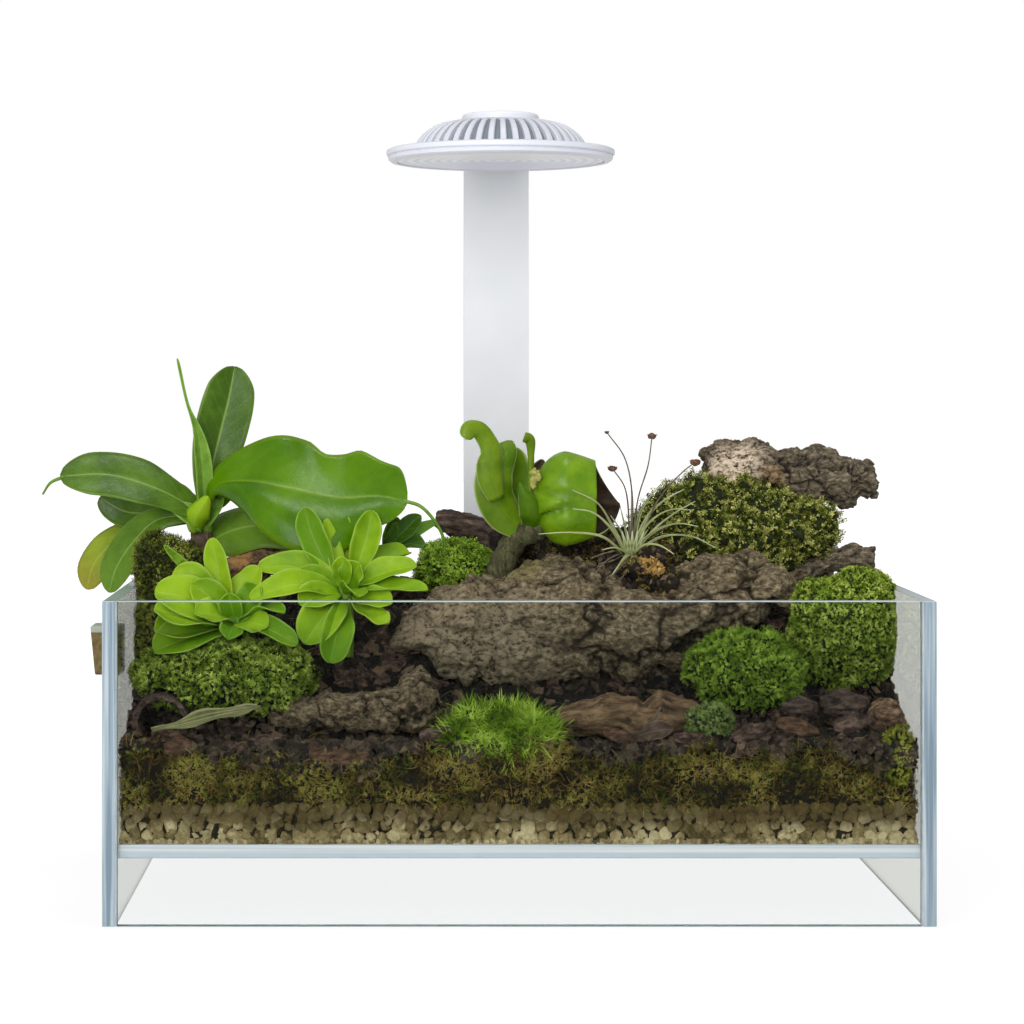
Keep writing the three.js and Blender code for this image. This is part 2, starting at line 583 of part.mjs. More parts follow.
const stub = log({
  path: [[-29, -6, 142], [-20, -6, 139], [-10, -7, 135], [2, -9, 127]],
  heights: [3, 6.5, 7, 6],
  depth: 6.5,
  relief: 1.1,
  grain: 7,
  steps: 9,
  around: 9,
});

// A strip of dark bark curled almost into a ring, its open side down.
function barkCurl() {
  const outline = new THREE.Shape();
  outline.absarc(0, 0, 10.5, -0.5, Math.PI + 0.6, false);
  outline.absarc(0, 0, 8, Math.PI + 0.6, -0.5, true);
  outline.closePath();
  const strip = new THREE.ExtrudeGeometry(outline, { depth: 22, bevelEnabled: false, curveSegments: 9 });
  strip.rotateX(Math.PI / 2);
  return solid(strip.translate(-130, -66, 72));
}

// Flat angular chips, each with its middle, half lengths and turn about Z and X.
function chips(list) {
  return list.map(([centre, half, turn, tip], n) => {
    const chip = new THREE.IcosahedronGeometry(1, 0);
    chip.scale(...half);
    chip.rotateX(tip);
    chip.rotateZ(turn);
    chip.translate(...centre);
    return { name: `bark_chip_${n + 1}`, shape: solid(chip), colour: 0x4a3528 };
  });
}

const looseChips = chips([
  [[-123, -83, 67], [7, 5, 5], 0.2, 0.1],
  [[104, -72, 74], [9, 6, 7], 0.4, 0.5],
  [[121, -70, 76], [11, 8, 7], -0.3, 0.4],
  [[136, -74, 72], [7, 8, 8], 0.9, 0.2],
  [[88, -86, 69], [7, 4, 3], 0.3, 0.9],
]);

// ---- mosses: a rough core that leaflets stand out of ----
function moss(clump, seed) {
  const { name, centre, half, relief = 0.16, detail = 2, blades, length = 3.5, width = 0.9,
    upright = 0.4, colour, hanging = false } = clump;
  const shape = mound({ centre, half, relief, detail });
  const leaflets = needles({ centre, half, count: blades, length, width, seed: seed + 11, upright });
  return { name, shape, leaflets, colour, hanging };
}

const mosses = [
  { name: 'moss_mound_front_left', centre: [-108, -67, 86], half: [36, 22, 15], blades: 16,
    colour: 0x5c8a2a },
  { name: 'moss_stump_back_left', centre: [-132, -36, 102], half: [14.5, 15, 32], blades: 14,
    colour: 0x3d4a1c },
  { name: 'moss_cushion_back', centre: [-21, -18, 123], half: [17, 12, 11], blades: 12,
    colour: 0x5f9a24 },
  { name: 'moss_tuft_front', centre: [-7, -86, 67], half: [22, 9.5, 11], blades: 34, length: 8, width: 1,
    upright: 0.9, hanging: true, colour: 0x6fb81a },
  { name: 'moss_dome_front_right', centre: [86, -62, 88], half: [24, 16, 16], blades: 12, colour: 0x6aa01f },
  { name: 'moss_block_right', centre: [126, -45, 101], half: [22, 19, 23.5], blades: 12, colour: 0x5f8a20 },
  { name: 'moss_feathery_top_right', centre: [92, -9, 134.5], half: [38, 20, 21], relief: 0.2,
    blades: 24, length: 6, width: 1, colour: 0x5c7a26 },
  { name: 'moss_clump_pale', centre: [69, -86, 72], half: [10, 6.5, 7], detail: 1, blades: 12, length: 3,
    colour: 0x7fa36a },
  { name: 'moss_clump_corner', centre: [138, -89, 60], half: [6, 7.5, 12], detail: 1, blades: 12,
    hanging: true, colour: 0x8a9a2a },
  { name: 'lichen_patch', centre: [51.5, -46, 125], half: [7, 5, 4], detail: 1, blades: 8, length: 2.4,
    colour: 0xb07a2a },
].map(moss);

// ---- small dry things that lie in front ----
const dryLeaf = leaf({
  midrib: [[-133, -87, 68.8], [-119.5, -89, 72], [-105, -89, 75.4], [-93.4, -88, 77.7]],
  halfWidths: [0.8, 2.5, 3, 2, 0.6],
  face: [0, -0.7, 0.7],
});
const deadLeaf = leaf({
  midrib: [[42, -86, 66], [46, -88, 68], [51, -90, 69.5], [56, -90, 70]],
  halfWidths: [1, 3, 3.5, 1],
  face: [0, -0.9, 0.4],
});
const twig = join([
  stem([[76, -88, 64], [82, -89, 69], [88, -90, 72]], 0.8, { steps: 3, sides: 5 }),
  stem([[76, -88, 64], [78.5, -89, 69], [79.5, -90, 75]], 0.7, { steps: 3, sides: 5 }),
]);

const wood = [
  { name: 'dry_leaf', shape: dryLeaf, colour: 0x8f9a6a },
  { name: 'dead_leaf', shape: deadLeaf, colour: 0x5a4636 },
  { name: 'forked_twig', shape: twig, colour: 0x3a2e24 },
  { name: 'log_middle', shape: mainLog, colour: 0x6b5d4c },
  { name: 'log_left', shape: leftLog, colour: 0x5f5244 },
  { name: 'cork_bark_top_right', shape: corkTop, colour: 0x6e665a },
  { name: 'root_front_right', shape: rightRoot, colour: 0x5d4636 },
  { name: 'branch_right', shape: rightBranch, colour: 0x6b5d4c },
  { name: 'wood_stub_back', shape: stub, colour: 0x4b3f3b },
  { name: 'bark_back_left', shape: backBark, colour: 0x8a6a50 },
  { name: 'bark_curl_left', shape: barkCurl(), colour: 0x3a2a22 },
  ...looseChips,
];

const plants = [
  { name: 'pitcher_plant', ...pitcherPlant(), colour: 0x5f9a16 },
  { name: 'pouch_plant', ...pouchPlant(), colour: 0x5fa015 },
  { name: 'rosette_right', ...rosetteRight(), colour: 0x8cc22e },
  { name: 'rosette_left', ...rosetteLeft(), colour: 0x8cc22e },
  { name: 'thin_leaved_plant', ...thinLeavedPlant(), colour: 0xb9c48a },
  { name: 'creeper', ...creeper(), colour: 0x3f6b1f },
];

// ---- lamp ----
function lathe(outline, segments = 28) {
  const profile = outline.map(([radius, z]) => new THREE.Vector2(radius, z));
  const turned = new THREE.LatheGeometry(profile, segments);
  turned.rotateX(Math.PI / 2);
  return solid(turned.translate(LAMP.x, LAMP.y, 0));
}

const LENS_RADIUS = 38.5;
const BOARD_RADIUS = 33;
const DOME = { rise: 11.8, shoulder: 10.9, shoulderRadius: 23, flatRadius: 18, wall: 2.2 };
const SLOT = { length: 14, width: 2.2, height: 8.1, middle: 28.5, rise: 6.6 };
const CAP = { radius: 16.6, side: 1.2, bevel: 1.4, height: 3.3 };
const CLAMP = { width: 24, plate: 3, reach: 20 };
const ringLow = LAMP.underside;
const ringHigh = LAMP.underside + LAMP.ringHeight;
const grooveZ = ringLow + 2.8;
const lensTop = ringLow + 2.4;
const boardTop = ringLow + 4;
const ring = lathe([
  [LENS_RADIUS + CLEARANCE, ringLow],
  [LAMP.ringRadius - 3, ringLow],
  [LAMP.ringRadius - 0.5, grooveZ - 0.3],
  [LAMP.ringRadius - 1.4, grooveZ],
  [LAMP.ringRadius, grooveZ + 0.3],
  [LAMP.ringRadius - 1, ringHigh],
  [LAMP.domeRadius + CLEARANCE, ringHigh],
  [LAMP.domeRadius + CLEARANCE, ringHigh - 1],
  [LENS_RADIUS + CLEARANCE, ringHigh - 1],
  [LENS_RADIUS + CLEARANCE, ringLow],
]);
// The lens has concentric ribs on its underside.
const ribs = [20, 32].flatMap((radius) => [[radius - 3, ringLow + 1.2], [radius, ringLow + 0.5]]);
const lens = lathe([
  [0, lensTop], [0, ringLow + 0.9], ...ribs,
  [LENS_RADIUS, ringLow + 0.6], [LENS_RADIUS, lensTop], [0, lensTop],
], 24);
const board = lathe([
  [0, lensTop + CLEARANCE], [BOARD_RADIUS, lensTop + CLEARANCE], [BOARD_RADIUS, boardTop], [0, boardTop],
], 24);

// The dome is hollow; slots run down its shoulder all the way round.
const domeBase = ringHigh - 1;
const domeTop = domeBase + DOME.rise;
const shell = lathe([
  [LAMP.domeRadius, domeBase],
  [LAMP.domeRadius, domeBase + 2],
  [DOME.shoulderRadius, domeBase + DOME.shoulder],
  [DOME.flatRadius, domeTop],
  [0, domeTop],
  [0, domeTop - DOME.wall],
  [DOME.flatRadius - 1, domeTop - DOME.wall - 0.4],
  [LAMP.domeRadius - 3, domeBase],
  [LAMP.domeRadius, domeBase],
], SLOTS);

function slottedDome() {
  let dome = shell;
  for (let n = 0; n < SLOTS; n += 1) {
    const slot = new THREE.BoxGeometry(SLOT.length, SLOT.width, SLOT.height);
    slot.translate(SLOT.middle, 0, domeBase + SLOT.rise);
    slot.rotateZ(((n + 0.5) / SLOTS) * Math.PI * 2);
    dome = dome.subtract(solid(slot.translate(LAMP.x, LAMP.y, 0)));
  }
  return dome;
}

const cap = lathe([
  [0, domeTop],
  [CAP.radius, domeTop],
  [CAP.radius, domeTop + CAP.side],
  [CAP.radius - CAP.bevel, domeTop + CAP.height - 0.3],
  [0, domeTop + CAP.height],
], 24);

// A bar of a given width, its middle on the lamp's own line.
const barAt = (width, ...sides) => box(LAMP.x - width / 2, LAMP.x + width / 2, ...sides);
const post = barAt(POST.width, BACK, BACK + POST.thickness, POST.bottom, POST.top);
const arm = barAt(20, LAMP.y + LAMP.domeRadius + 1, BACK, ringHigh, ringHigh + 3.6);
const clampFront = INNER_BACK - CLAMP.plate - CLEARANCE;
const clampTop = TANK.height + CLAMP.plate;
const clamp = barAt(CLAMP.width, clampFront, BACK, TANK.height, clampTop)
  .add(barAt(CLAMP.width, clampFront, INNER_BACK, TANK.height - CLAMP.reach, clampTop));
const inlet = barAt(12, BACK + POST.thickness, BACK + POST.thickness + 8, POST.bottom + 8, POST.bottom + 18);

// ---- tank ----
const tankPieces = {
  glass_front: box(-INNER_X, INNER_X, FRONT, INNER_FRONT, 0, TANK.height),
  glass_back: box(-INNER_X, INNER_X, INNER_BACK, BACK, 0, TANK.height),
  glass_left: box(-TANK.width / 2, -INNER_X, FRONT, BACK, 0, TANK.height),
  glass_right: box(INNER_X, TANK.width / 2, FRONT, BACK, 0, TANK.height),
  glass_floor: box(-INNER_X, INNER_X, INNER_FRONT, INNER_BACK, TANK.floorTop - TANK.glass, TANK.floorTop),
};
const sideBlock = box(-TANK.width / 2 - 7, -TANK.width / 2, -78, -64, 88, 106);

// ---- assembly: each piece is cut back from those placed before it ----
const terrarium = new THREE.Group();
const placed = [];

function add(name, shape, colour, roughness, metalness = 0) {
  const mesh = new THREE.Mesh(
    geometryOf(shape),
    new THREE.MeshStandardMaterial({ color: colour, roughness, metalness }),
  );
  mesh.name = name;
  terrarium.add(mesh);
}

function boundsOf(shape) {
  const { min, max } = shape.boundingBox();
  return new THREE.Box3(vector([...min]), vector([...max]));
}

// Cuts a shape back from the neighbours it meets and keeps the piece that is left.
function cutBack(shape, neighbours) {
  const bounds = boundsOf(shape);
  const near = neighbours.filter((other) => other.bounds.intersectsBox(bounds));
  return largestPiece(near.reduce((rest, other) => rest.subtract(other.grown), shape));
}

function neighbour(shape, gap) {
  return { bounds: boundsOf(shape).expandByScalar(gap), grown: grown(shape, gap) };
}

Object.entries(tankPieces).forEach(([name, shape]) => add(name, shape, 0xbfd0d8, 0.05));
add('side_block', sideBlock, 0x8a7440, 0.7);
add('lamp_post', post, 0xdadde2, 0.45);
add('lamp_clamp', clamp, 0xdadde2, 0.45);
add('lamp_arm', arm, 0xdadde2, 0.45);
add('lamp_ring', ring, 0xe6e8f2, 0.4);
add('lamp_heat_sink', slottedDome(), 0xe6e8f2, 0.4);
add('lamp_cap', cap, 0xe6e8f2, 0.4);
add('lamp_lens', lens, 0xcfd2dc, 0.25);
add('lamp_led_board', board, 0xf0ead8, 0.6);
add('power_inlet', inlet, 0x2a2a2c, 0.5);

// The soil has a hole for each plant's stem. What else meets it is trimmed to its surface, and only
// the two mosses that hang down the front glass are let into the layers.
const WIDE_GAP = CLEARANCE * 1.4;
const stems = plants.map((plant) => neighbour(plant.roots, WIDE_GAP));
const hanging = mosses.filter((piece) => piece.hanging).map((piece) => neighbour(piece.shape, WIDE_GAP));
const walls = ['glass_front', 'glass_back', 'glass_left', 'glass_right'].map((name) => {
  return neighbour(tankPieces[name], WIDE_GAP);
});
walls.push(neighbour(clamp, WIDE_GAP));
const ground = [
  { name: 'soil', shape: cutBack(soil, [...stems, ...hanging, ...walls.slice(-1)]), colour: 0x2a2420 },
  { name: 'moss_peat', shape: cutBack(peat, hanging), colour: 0x4d4a1e },
  { name: 'gravel', shape: gravel, colour: 0x8f8659 },
];
const layers = ground.map(({ shape }) => neighbour(shape, CLEARANCE));

// Plants come first, then wood and dry leaves, then the moss cores.
const settled = [];
const earlier = [...walls];
[...plants, ...wood, ...mosses].forEach((piece) => {
  const shape = cutBack(piece.shape, piece.hanging ? earlier : [...earlier, ...layers]);
  settled.push({ ...piece, shape });
  earlier.push(neighbour(shape, WIDE_GAP));
});

// Last the moss leaflets, kept where nothing else is in their way.
const others = settled.map(({ shape }) => neighbour(shape, CLEARANCE));
settled.forEach((piece, n) => {
  if (!piece.leaflets) return;
  const reach = boundsOf(piece.leaflets);
  const free = others.filter((_, m) => m !== n).concat(layers, walls)
    .filter((other) => other.bounds.intersectsBox(reach))
    .reduce((rest, other) => rest.subtract(other.grown), piece.leaflets);
  piece.shape = largestPiece(piece.shape.add(free));
  others[n] = neighbour(piece.shape, CLEARANCE);
});
[...settled, ...ground].forEach(({ name, shape, colour }) => add(name, shape, colour, 0.85));

// ---- the part's own frame: the middle of its bounding box at x = 0 and y = 0, its foot at z = 0 ----
const whole = new THREE.Box3().setFromObject(terrarium);
const middle = whole.getCenter(new THREE.Vector3());
terrarium.position.set(-middle.x, -middle.y, -whole.min.z);
terrarium.updateMatrixWorld(true);

export default terrarium;
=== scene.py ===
"""Glass plant terrarium: a rimless planted tank on its own glass skirt, under a slotted lamp."""
import math
import random

import bmesh
import bpy
import numpy as np
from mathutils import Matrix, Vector, noise


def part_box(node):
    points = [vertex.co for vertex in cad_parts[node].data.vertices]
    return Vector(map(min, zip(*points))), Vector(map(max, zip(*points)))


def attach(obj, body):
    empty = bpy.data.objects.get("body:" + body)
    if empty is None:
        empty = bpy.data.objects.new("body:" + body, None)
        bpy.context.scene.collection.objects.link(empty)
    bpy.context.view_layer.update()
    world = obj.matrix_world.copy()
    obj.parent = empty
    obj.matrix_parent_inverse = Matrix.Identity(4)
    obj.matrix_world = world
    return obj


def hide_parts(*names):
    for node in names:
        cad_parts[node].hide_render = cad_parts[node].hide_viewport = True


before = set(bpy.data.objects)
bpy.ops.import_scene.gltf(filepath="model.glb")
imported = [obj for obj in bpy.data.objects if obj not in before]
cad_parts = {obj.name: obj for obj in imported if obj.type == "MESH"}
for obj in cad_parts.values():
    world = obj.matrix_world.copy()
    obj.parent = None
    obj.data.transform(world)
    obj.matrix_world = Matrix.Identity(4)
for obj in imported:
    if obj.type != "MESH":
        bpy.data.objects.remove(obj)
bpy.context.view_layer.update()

MM = 0.001
BODY = "root"
SCENE = bpy.context.scene
# The wander of the cracks in the bark is drawn from this seed, so that it is the same in each run.
noise.seed_set(1)

# The tank's own frame, in millimetres: its middle at x = 0, its front face at y = -100.
front_low, front_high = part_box("glass_front")
TANK_MIDDLE = Vector(((front_low.x + front_high.x) / 2, front_low.y + 100 * MM, 0))
RIM = 117
INNER_SIDE, INNER_FRONT, INNER_BACK = 145, -95, 55
FLOOR_TOP = 29
LAMP_AXIS = (-3, 10)
EYE = (-38.6, -1016, 195.8)


def place(x, y, z):
    """A point given in the tank's millimetres, as a place in the model."""
    return TANK_MIDDLE + Vector((x, y, z)) * MM


def tank_mm(points):
    """Model coordinates as the tank's millimetres."""
    return (np.asarray(points, float) - np.array(TANK_MIDDLE)) / MM


# ---- camera ----
camera_data = bpy.data.cameras.new("camera")
camera_data.lens = 89.65
camera_data.sensor_width = 36
camera_data.shift_x = 0.0977
camera_data.shift_y = -0.127
camera = bpy.data.objects.new("camera", camera_data)
SCENE.collection.objects.link(camera)
camera.location = place(*EYE)
camera.rotation_euler = (math.radians(90), 0, 0)
SCENE.camera = camera


# ---- colours, nodes and patterns ----
# The kinds of node that are used most, and the setting that makes a step of values a soft one.
MATH, RAMP, BUMP = "ShaderNodeMath", "ShaderNodeValToRGB", "ShaderNodeBump"
MIX, STEP = "ShaderNodeMix", "ShaderNodeMapRange"
SOFT = {"interpolation_type": "SMOOTHSTEP"}


def linear(colour):
    """An sRGB hex colour as linear numbers."""
    parts = [int(colour[i:i + 2], 16) / 255 for i in (1, 3, 5)]
    return [p / 12.92 if p <= 0.04045 else ((p + 0.055) / 1.055) ** 2.4 for p in parts] + [1.0]


def join_sockets(tree, made, inputs):
    """Sets a node's inputs, by name or in their order, and links the ones that another node feeds.

    A node given as a value stands for the first of its outputs that is in use.
    """
    for key, value in inputs.items() if isinstance(inputs, dict) else enumerate(inputs):
        if isinstance(value, bpy.types.Node):
            value = next(socket for socket in value.outputs if socket.enabled)
        if isinstance(value, bpy.types.NodeSocket):
            tree.links.new(value, made.inputs[key])
        else:
            made.inputs[key].default_value = linear(value) if str(value).startswith("#") else value


def node(tree, kind, inputs=(), stops=(), **settings):
    """Adds a node with its settings, its ramp's stops and its inputs."""
    made = tree.nodes.new(kind)
    for key, value in settings.items():
        setattr(made, key, value)
    join_sockets(tree, made, inputs)
    for n, (position, colour) in enumerate(stops):
        ramp = made.color_ramp
        stop = ramp.elements[n] if n < 2 else ramp.elements.new(position)
        stop.position = position
        stop.color = linear(colour)
    return made


def new_material(name):
    """An empty material, its tree and its one Principled shader."""
    made = bpy.data.materials.new(name)
    made.use_nodes = True
    return made, made.node_tree, made.node_tree.nodes["Principled BSDF"]


def evenly(low, high, *colours):
    """The stops of a ramp whose colours are spread evenly from low to high."""
    step = (high - low) / (len(colours) - 1)
    return [(low + step * n, colour) for n, colour in enumerate(colours)]


def spots(tree, size_mm, detail=4.0, roughness=0.55, stretch=None):
    """Noise on the piece's own coordinates, with spots of a real size in millimetres."""
    where = node(tree, "ShaderNodeTexCoord").outputs["Object"]
    if stretch:
        where = node(tree, "ShaderNodeMapping", {"Vector": where, "Scale": stretch})
    return node(tree, "ShaderNodeTexNoise", {
        "Vector": where, "Scale": 1000 / size_mm, "Detail": detail, "Roughness": roughness,
    })


def height_on_piece(tree):
    """The height of each place on the piece, in metres."""
    where = node(tree, "ShaderNodeTexCoord").outputs["Object"]
    return node(tree, "ShaderNodeSeparateXYZ", (where,)).outputs["Z"]


def near(tree, centre, radius_mm):
    """1 at a place on the piece, falling to 0 at the radius."""
    where = node(tree, "ShaderNodeTexCoord").outputs["Object"]
    gap = node(tree, "ShaderNodeVectorMath", (where, place(*centre)), operation="DISTANCE")
    return node(tree, STEP, (gap, 0.35 * radius_mm * MM, radius_mm * MM, 1.0, 0.0), **SOFT)


def laid_over(tree, below, above, value, start, end, low, high):
    """A colour laid over another by a share that goes from low to high as a value goes from start to end."""
    share = node(tree, STEP, (value, start, end, low, high), **SOFT)
    return node(tree, MIX, {0: share, 6: below, 7: above}, data_type="RGBA")


def blotched(tree, share, size_mm, detail, low, high):
    """A share of colour, made less or more from one soft blotch to the next."""
    blotch = node(tree, STEP, (spots(tree, size_mm, detail), 0.35, 0.65, low, high), **SOFT)
    return node(tree, MATH, (share, blotch), operation="ADD")


# ---- materials ----
def float_glass(name, tint):
    """Clear float glass, drawn flat: it shows the pieces behind it and a faint sheen."""
    made, tree, shader = new_material(name)
    join_sockets(tree, shader, {
        "Base Color": tint, "Roughness": 0.0, "IOR": 1.45, "Transmission Weight": 1.0,
        "Specular Tint": "#3a3a3a",
    })
    return made


def ground_glass_edge(name, along, *colours, shaded=None, clear=0.15):
    """The ground edges of float glass: pale blue-grey, with streaks that run along the edge.

    shaded is painted shade: a darker tint laid on the lower half of the floor plate's edge.
    """
    made, tree, shader = new_material(name)
    streak = spots(tree, 1.6, 2, stretch=along)
    colour = node(tree, RAMP, (streak,), evenly(0.38, 0.64, *colours))
    if shaded:
        # Painted shade: the lower half of the floor plate's edge takes the shaded tint.
        shade_full, shade_ends = 25.6 * MM, 26.6 * MM
        colour = laid_over(tree, colour, shaded, height_on_piece(tree), shade_full, shade_ends, 1.0, 0.0)
    join_sockets(tree, shader, {
        "Base Color": colour, "Roughness": 0.22, "IOR": 1.5, "Transmission Weight": clear,
    })
    return made


def arris_glass(name):
    """The fine ground arris along each edge of the glass, which catches the light as a pale line."""
    made, tree, shader = new_material(name)
    colour = node(tree, RAMP, (spots(tree, 6, 2),), evenly(0.3, 0.7, "#a6b6b9", "#c4cfd1"))
    join_sockets(tree, shader, {"Base Color": colour, "Roughness": 0.3, "IOR": 1.5})
    return made


def powder_coat(name, colour, shade, roughness=0.42):
    """Powder-coated metal: an even satin skin with a very fine orange-peel texture."""
    made, tree, shader = new_material(name)
    colour = node(tree, RAMP, (spots(tree, 40, 2),), evenly(0.25, 0.6, shade, colour))
    join_sockets(tree, shader, {
        "Base Color": colour, "Roughness": roughness,
        "Normal": node(tree, BUMP, {
            "Height": spots(tree, 0.6, 3), "Distance": 0.02 * MM, "Strength": 0.4}),
    })
    return made


def frosted_polycarbonate(name):
    """A frosted polycarbonate lens: lavender-white and dull, with fine rings moulded in."""
    made, tree, shader = new_material(name)
    ring_pitch = 4.4 * MM
    axis = place(*LAMP_AXIS, 0)
    where = node(tree, "ShaderNodeTexCoord").outputs["Object"]
    level = node(tree, "ShaderNodeVectorMath", (where, (1.0, 1.0, 0.0)), operation="MULTIPLY")
    off_axis = node(tree, "ShaderNodeVectorMath", (level, (axis.x, axis.y, 0.0)), operation="DISTANCE")
    turns = node(tree, MATH, (off_axis, math.tau / ring_pitch), operation="MULTIPLY")
    rings = node(tree, MATH, (turns,), operation="SINE")
    rings = node(tree, MATH, (spots(tree, 9, 2), 0.8, rings), operation="MULTIPLY_ADD")
    colour = node(tree, RAMP, (rings,), evenly(0.0, 1.0, "#e8eafa", "#f6f6ff", "#ffffff"))
    join_sockets(tree, shader, {
        "Base Color": colour, "Roughness": 0.4, "IOR": 1.58,
        "Normal": node(tree, BUMP, {"Height": rings, "Distance": 0.15 * MM, "Strength": 0.5}),
    })
    return made


def moulded_abs(name, colour):
    """Moulded ABS with a fine spark-eroded grain."""
    made, tree, shader = new_material(name)
    colour = node(tree, RAMP, (spots(tree, 9),), evenly(0.3, 0.7, colour, "#3a3a3d"))
    join_sockets(tree, shader, {
        "Base Color": colour, "Roughness": 0.5,
        "Normal": node(tree, BUMP, {
            "Height": spots(tree, 0.4, 2), "Distance": 0.03 * MM, "Strength": 0.5}),
    })
    return made


def leaf_skin(name, dark, light, vein, margin, veins, gloss, grain, side=0.08, middle=0.5, rim=0.4, lines=0.0,
              tip=None, wax=0.15):
    """A living leaf: a waxy skin with a paler midrib, faint side veins and a light margin.

    side, middle and rim say how strongly the side veins, the midrib and the margin show, and lines
    how many stripes run along the leaf.
    """
    made, tree, shader = new_material(name)
    on_leaf = node(tree, "ShaderNodeSeparateXYZ", (node(tree, "ShaderNodeUVMap", uv_map="leaf"),)).outputs
    across, along = on_leaf["X"], on_leaf["Y"]
    from_middle = node(tree, MATH, (across, 2.0, -1.0), operation="MULTIPLY_ADD")
    off_middle = node(tree, MATH, (from_middle,), operation="ABSOLUTE")
    slant = node(tree, MATH, (off_middle, -0.22, along), operation="MULTIPLY_ADD")
    turns = node(tree, MATH, (slant, veins * math.tau), operation="MULTIPLY")
    swell = node(tree, MATH, (turns,), operation="SINE")
    side_vein = node(tree, STEP, (swell, 0.6, 1.0, 0.0, side), **SOFT)
    midrib = node(tree, STEP, (off_middle, 0.0, 0.075, 1.0, 0.0), **SOFT)
    tone = node(tree, "ShaderNodeAttribute", attribute_name="tone").outputs["Fac"]
    own_shade = node(tree, MATH, (tone, 0.5, -0.25), operation="MULTIPLY_ADD")
    patch = node(tree, MATH, (spots(tree, grain, 5), own_shade), operation="ADD")
    colour = node(tree, RAMP, (patch,), evenly(0.3, 0.72, dark, light))
    if lines:
        turns = node(tree, MATH, (across, lines * math.tau), operation="MULTIPLY")
        stripe = node(tree, MATH, (turns,), operation="SINE")
        colour = laid_over(tree, colour, vein, stripe, 0.1, 0.9, 0.0, 0.5)
    if tip:
        colour = laid_over(tree, colour, tip, along, 0.6, 0.98, 0.0, 0.75)
    colour = node(tree, MIX, {0: side_vein, 6: colour, 7: vein}, data_type="RGBA")
    rib = node(tree, MATH, (midrib, middle), operation="MULTIPLY")
    colour = node(tree, MIX, {0: rib, 6: colour, 7: vein}, data_type="RGBA")
    colour = laid_over(tree, colour, margin, off_middle, 0.88, 1.0, 0.0, rim)
    furrow = node(tree, MATH, (side_vein, -3.0, spots(tree, 0.8, 3)), operation="MULTIPLY_ADD")
    height = node(tree, MATH, (midrib, -1.0, furrow), operation="MULTIPLY_ADD")
    shine = node(tree, STEP, (spots(tree, 2.5, 3), 0.3, 0.7, gloss - 0.06, gloss + 0.1), **SOFT)
    join_sockets(tree, shader, {
        "Base Color": colour, "Roughness": shine, "Specular IOR Level": wax,
        "Normal": node(tree, BUMP, {"Height": height, "Distance": 0.2 * MM, "Strength": 0.4}),
    })
    return made


def bark_skin(name, crevice, middle, ridge, grain, fibre=(1, 1, 1), patches=()):
    """Weathered bark: matt and furrowed, with painted shade in its crevices, and lighter on its ridges.

    Each patch is a stain, or painted light that lifts a place lying in shade, laid on the raised grain: its
    centre, its radius and its colour.
    """
    made, tree, shader = new_material(name)
    furrow = spots(tree, grain, 8, 0.68, fibre)
    colour = node(tree, RAMP, (furrow,), evenly(0.33, 0.66, crevice, middle, ridge))
    hollow = node(tree, "ShaderNodeAttribute", attribute_name="hollow").outputs["Fac"]
    # Painted shade: the crevice colour is laid into the mesh's deep crevices, by the attribute hollow.
    colour = laid_over(tree, colour, crevice, hollow, 0.2, 0.9, 0.0, 0.9)
    # Each patch tints the raised grain round its centre; some are stains and some are painted light.
    for centre, radius, tint in patches:
        raised = node(tree, STEP, (furrow, 0.36, 0.58, 0.0, 0.92), **SOFT)
        share = node(tree, MATH, (near(tree, centre, radius), raised), operation="MULTIPLY")
        colour = node(tree, MIX, {0: share, 6: colour, 7: tint}, data_type="RGBA")
    height = node(tree, MATH, (spots(tree, 0.8, 4, 0.7), 0.6, furrow), operation="MULTIPLY_ADD")
    join_sockets(tree, shader, {
        "Base Color": colour, "Roughness": 0.9, "Specular IOR Level": 0.25,
        "Normal": node(tree, BUMP, {"Height": height, "Distance": 0.8 * MM, "Strength": 0.9}),
    })
    return made


def moss_leaflet(name, root, middle, tips, patch=9.0, mottle=0.35):
    """Moss leaflets, each a little different: dark where they leave the cushion and bright at their tips,
    partly the moss's own colour and partly painted shade low down and painted highlight at the tips.
    """
    made, tree, shader = new_material(name)
    tip = node(tree, "ShaderNodeAttribute", attribute_name="tip").outputs["Fac"]
    tone = node(tree, "ShaderNodeAttribute", attribute_name="tone").outputs["Fac"]
    own_shade = node(tree, MATH, (tone, 0.3), operation="MULTIPLY")
    # From root to tip: partly the moss's own colour, partly painted shade low in the cushion and painted
    # highlight at the tips.
    share = node(tree, MATH, (tip, 0.55, own_shade), operation="MULTIPLY_ADD")
    share = blotched(tree, share, patch, 3, -0.45 * mottle, 0.55 * mottle)
    join_sockets(tree, shader, {
        "Base Color": node(tree, RAMP, (share,), evenly(0.1, 0.95, root, middle, tips)),
        "Roughness": 0.6, "Specular IOR Level": 0.1,
    })
    return made


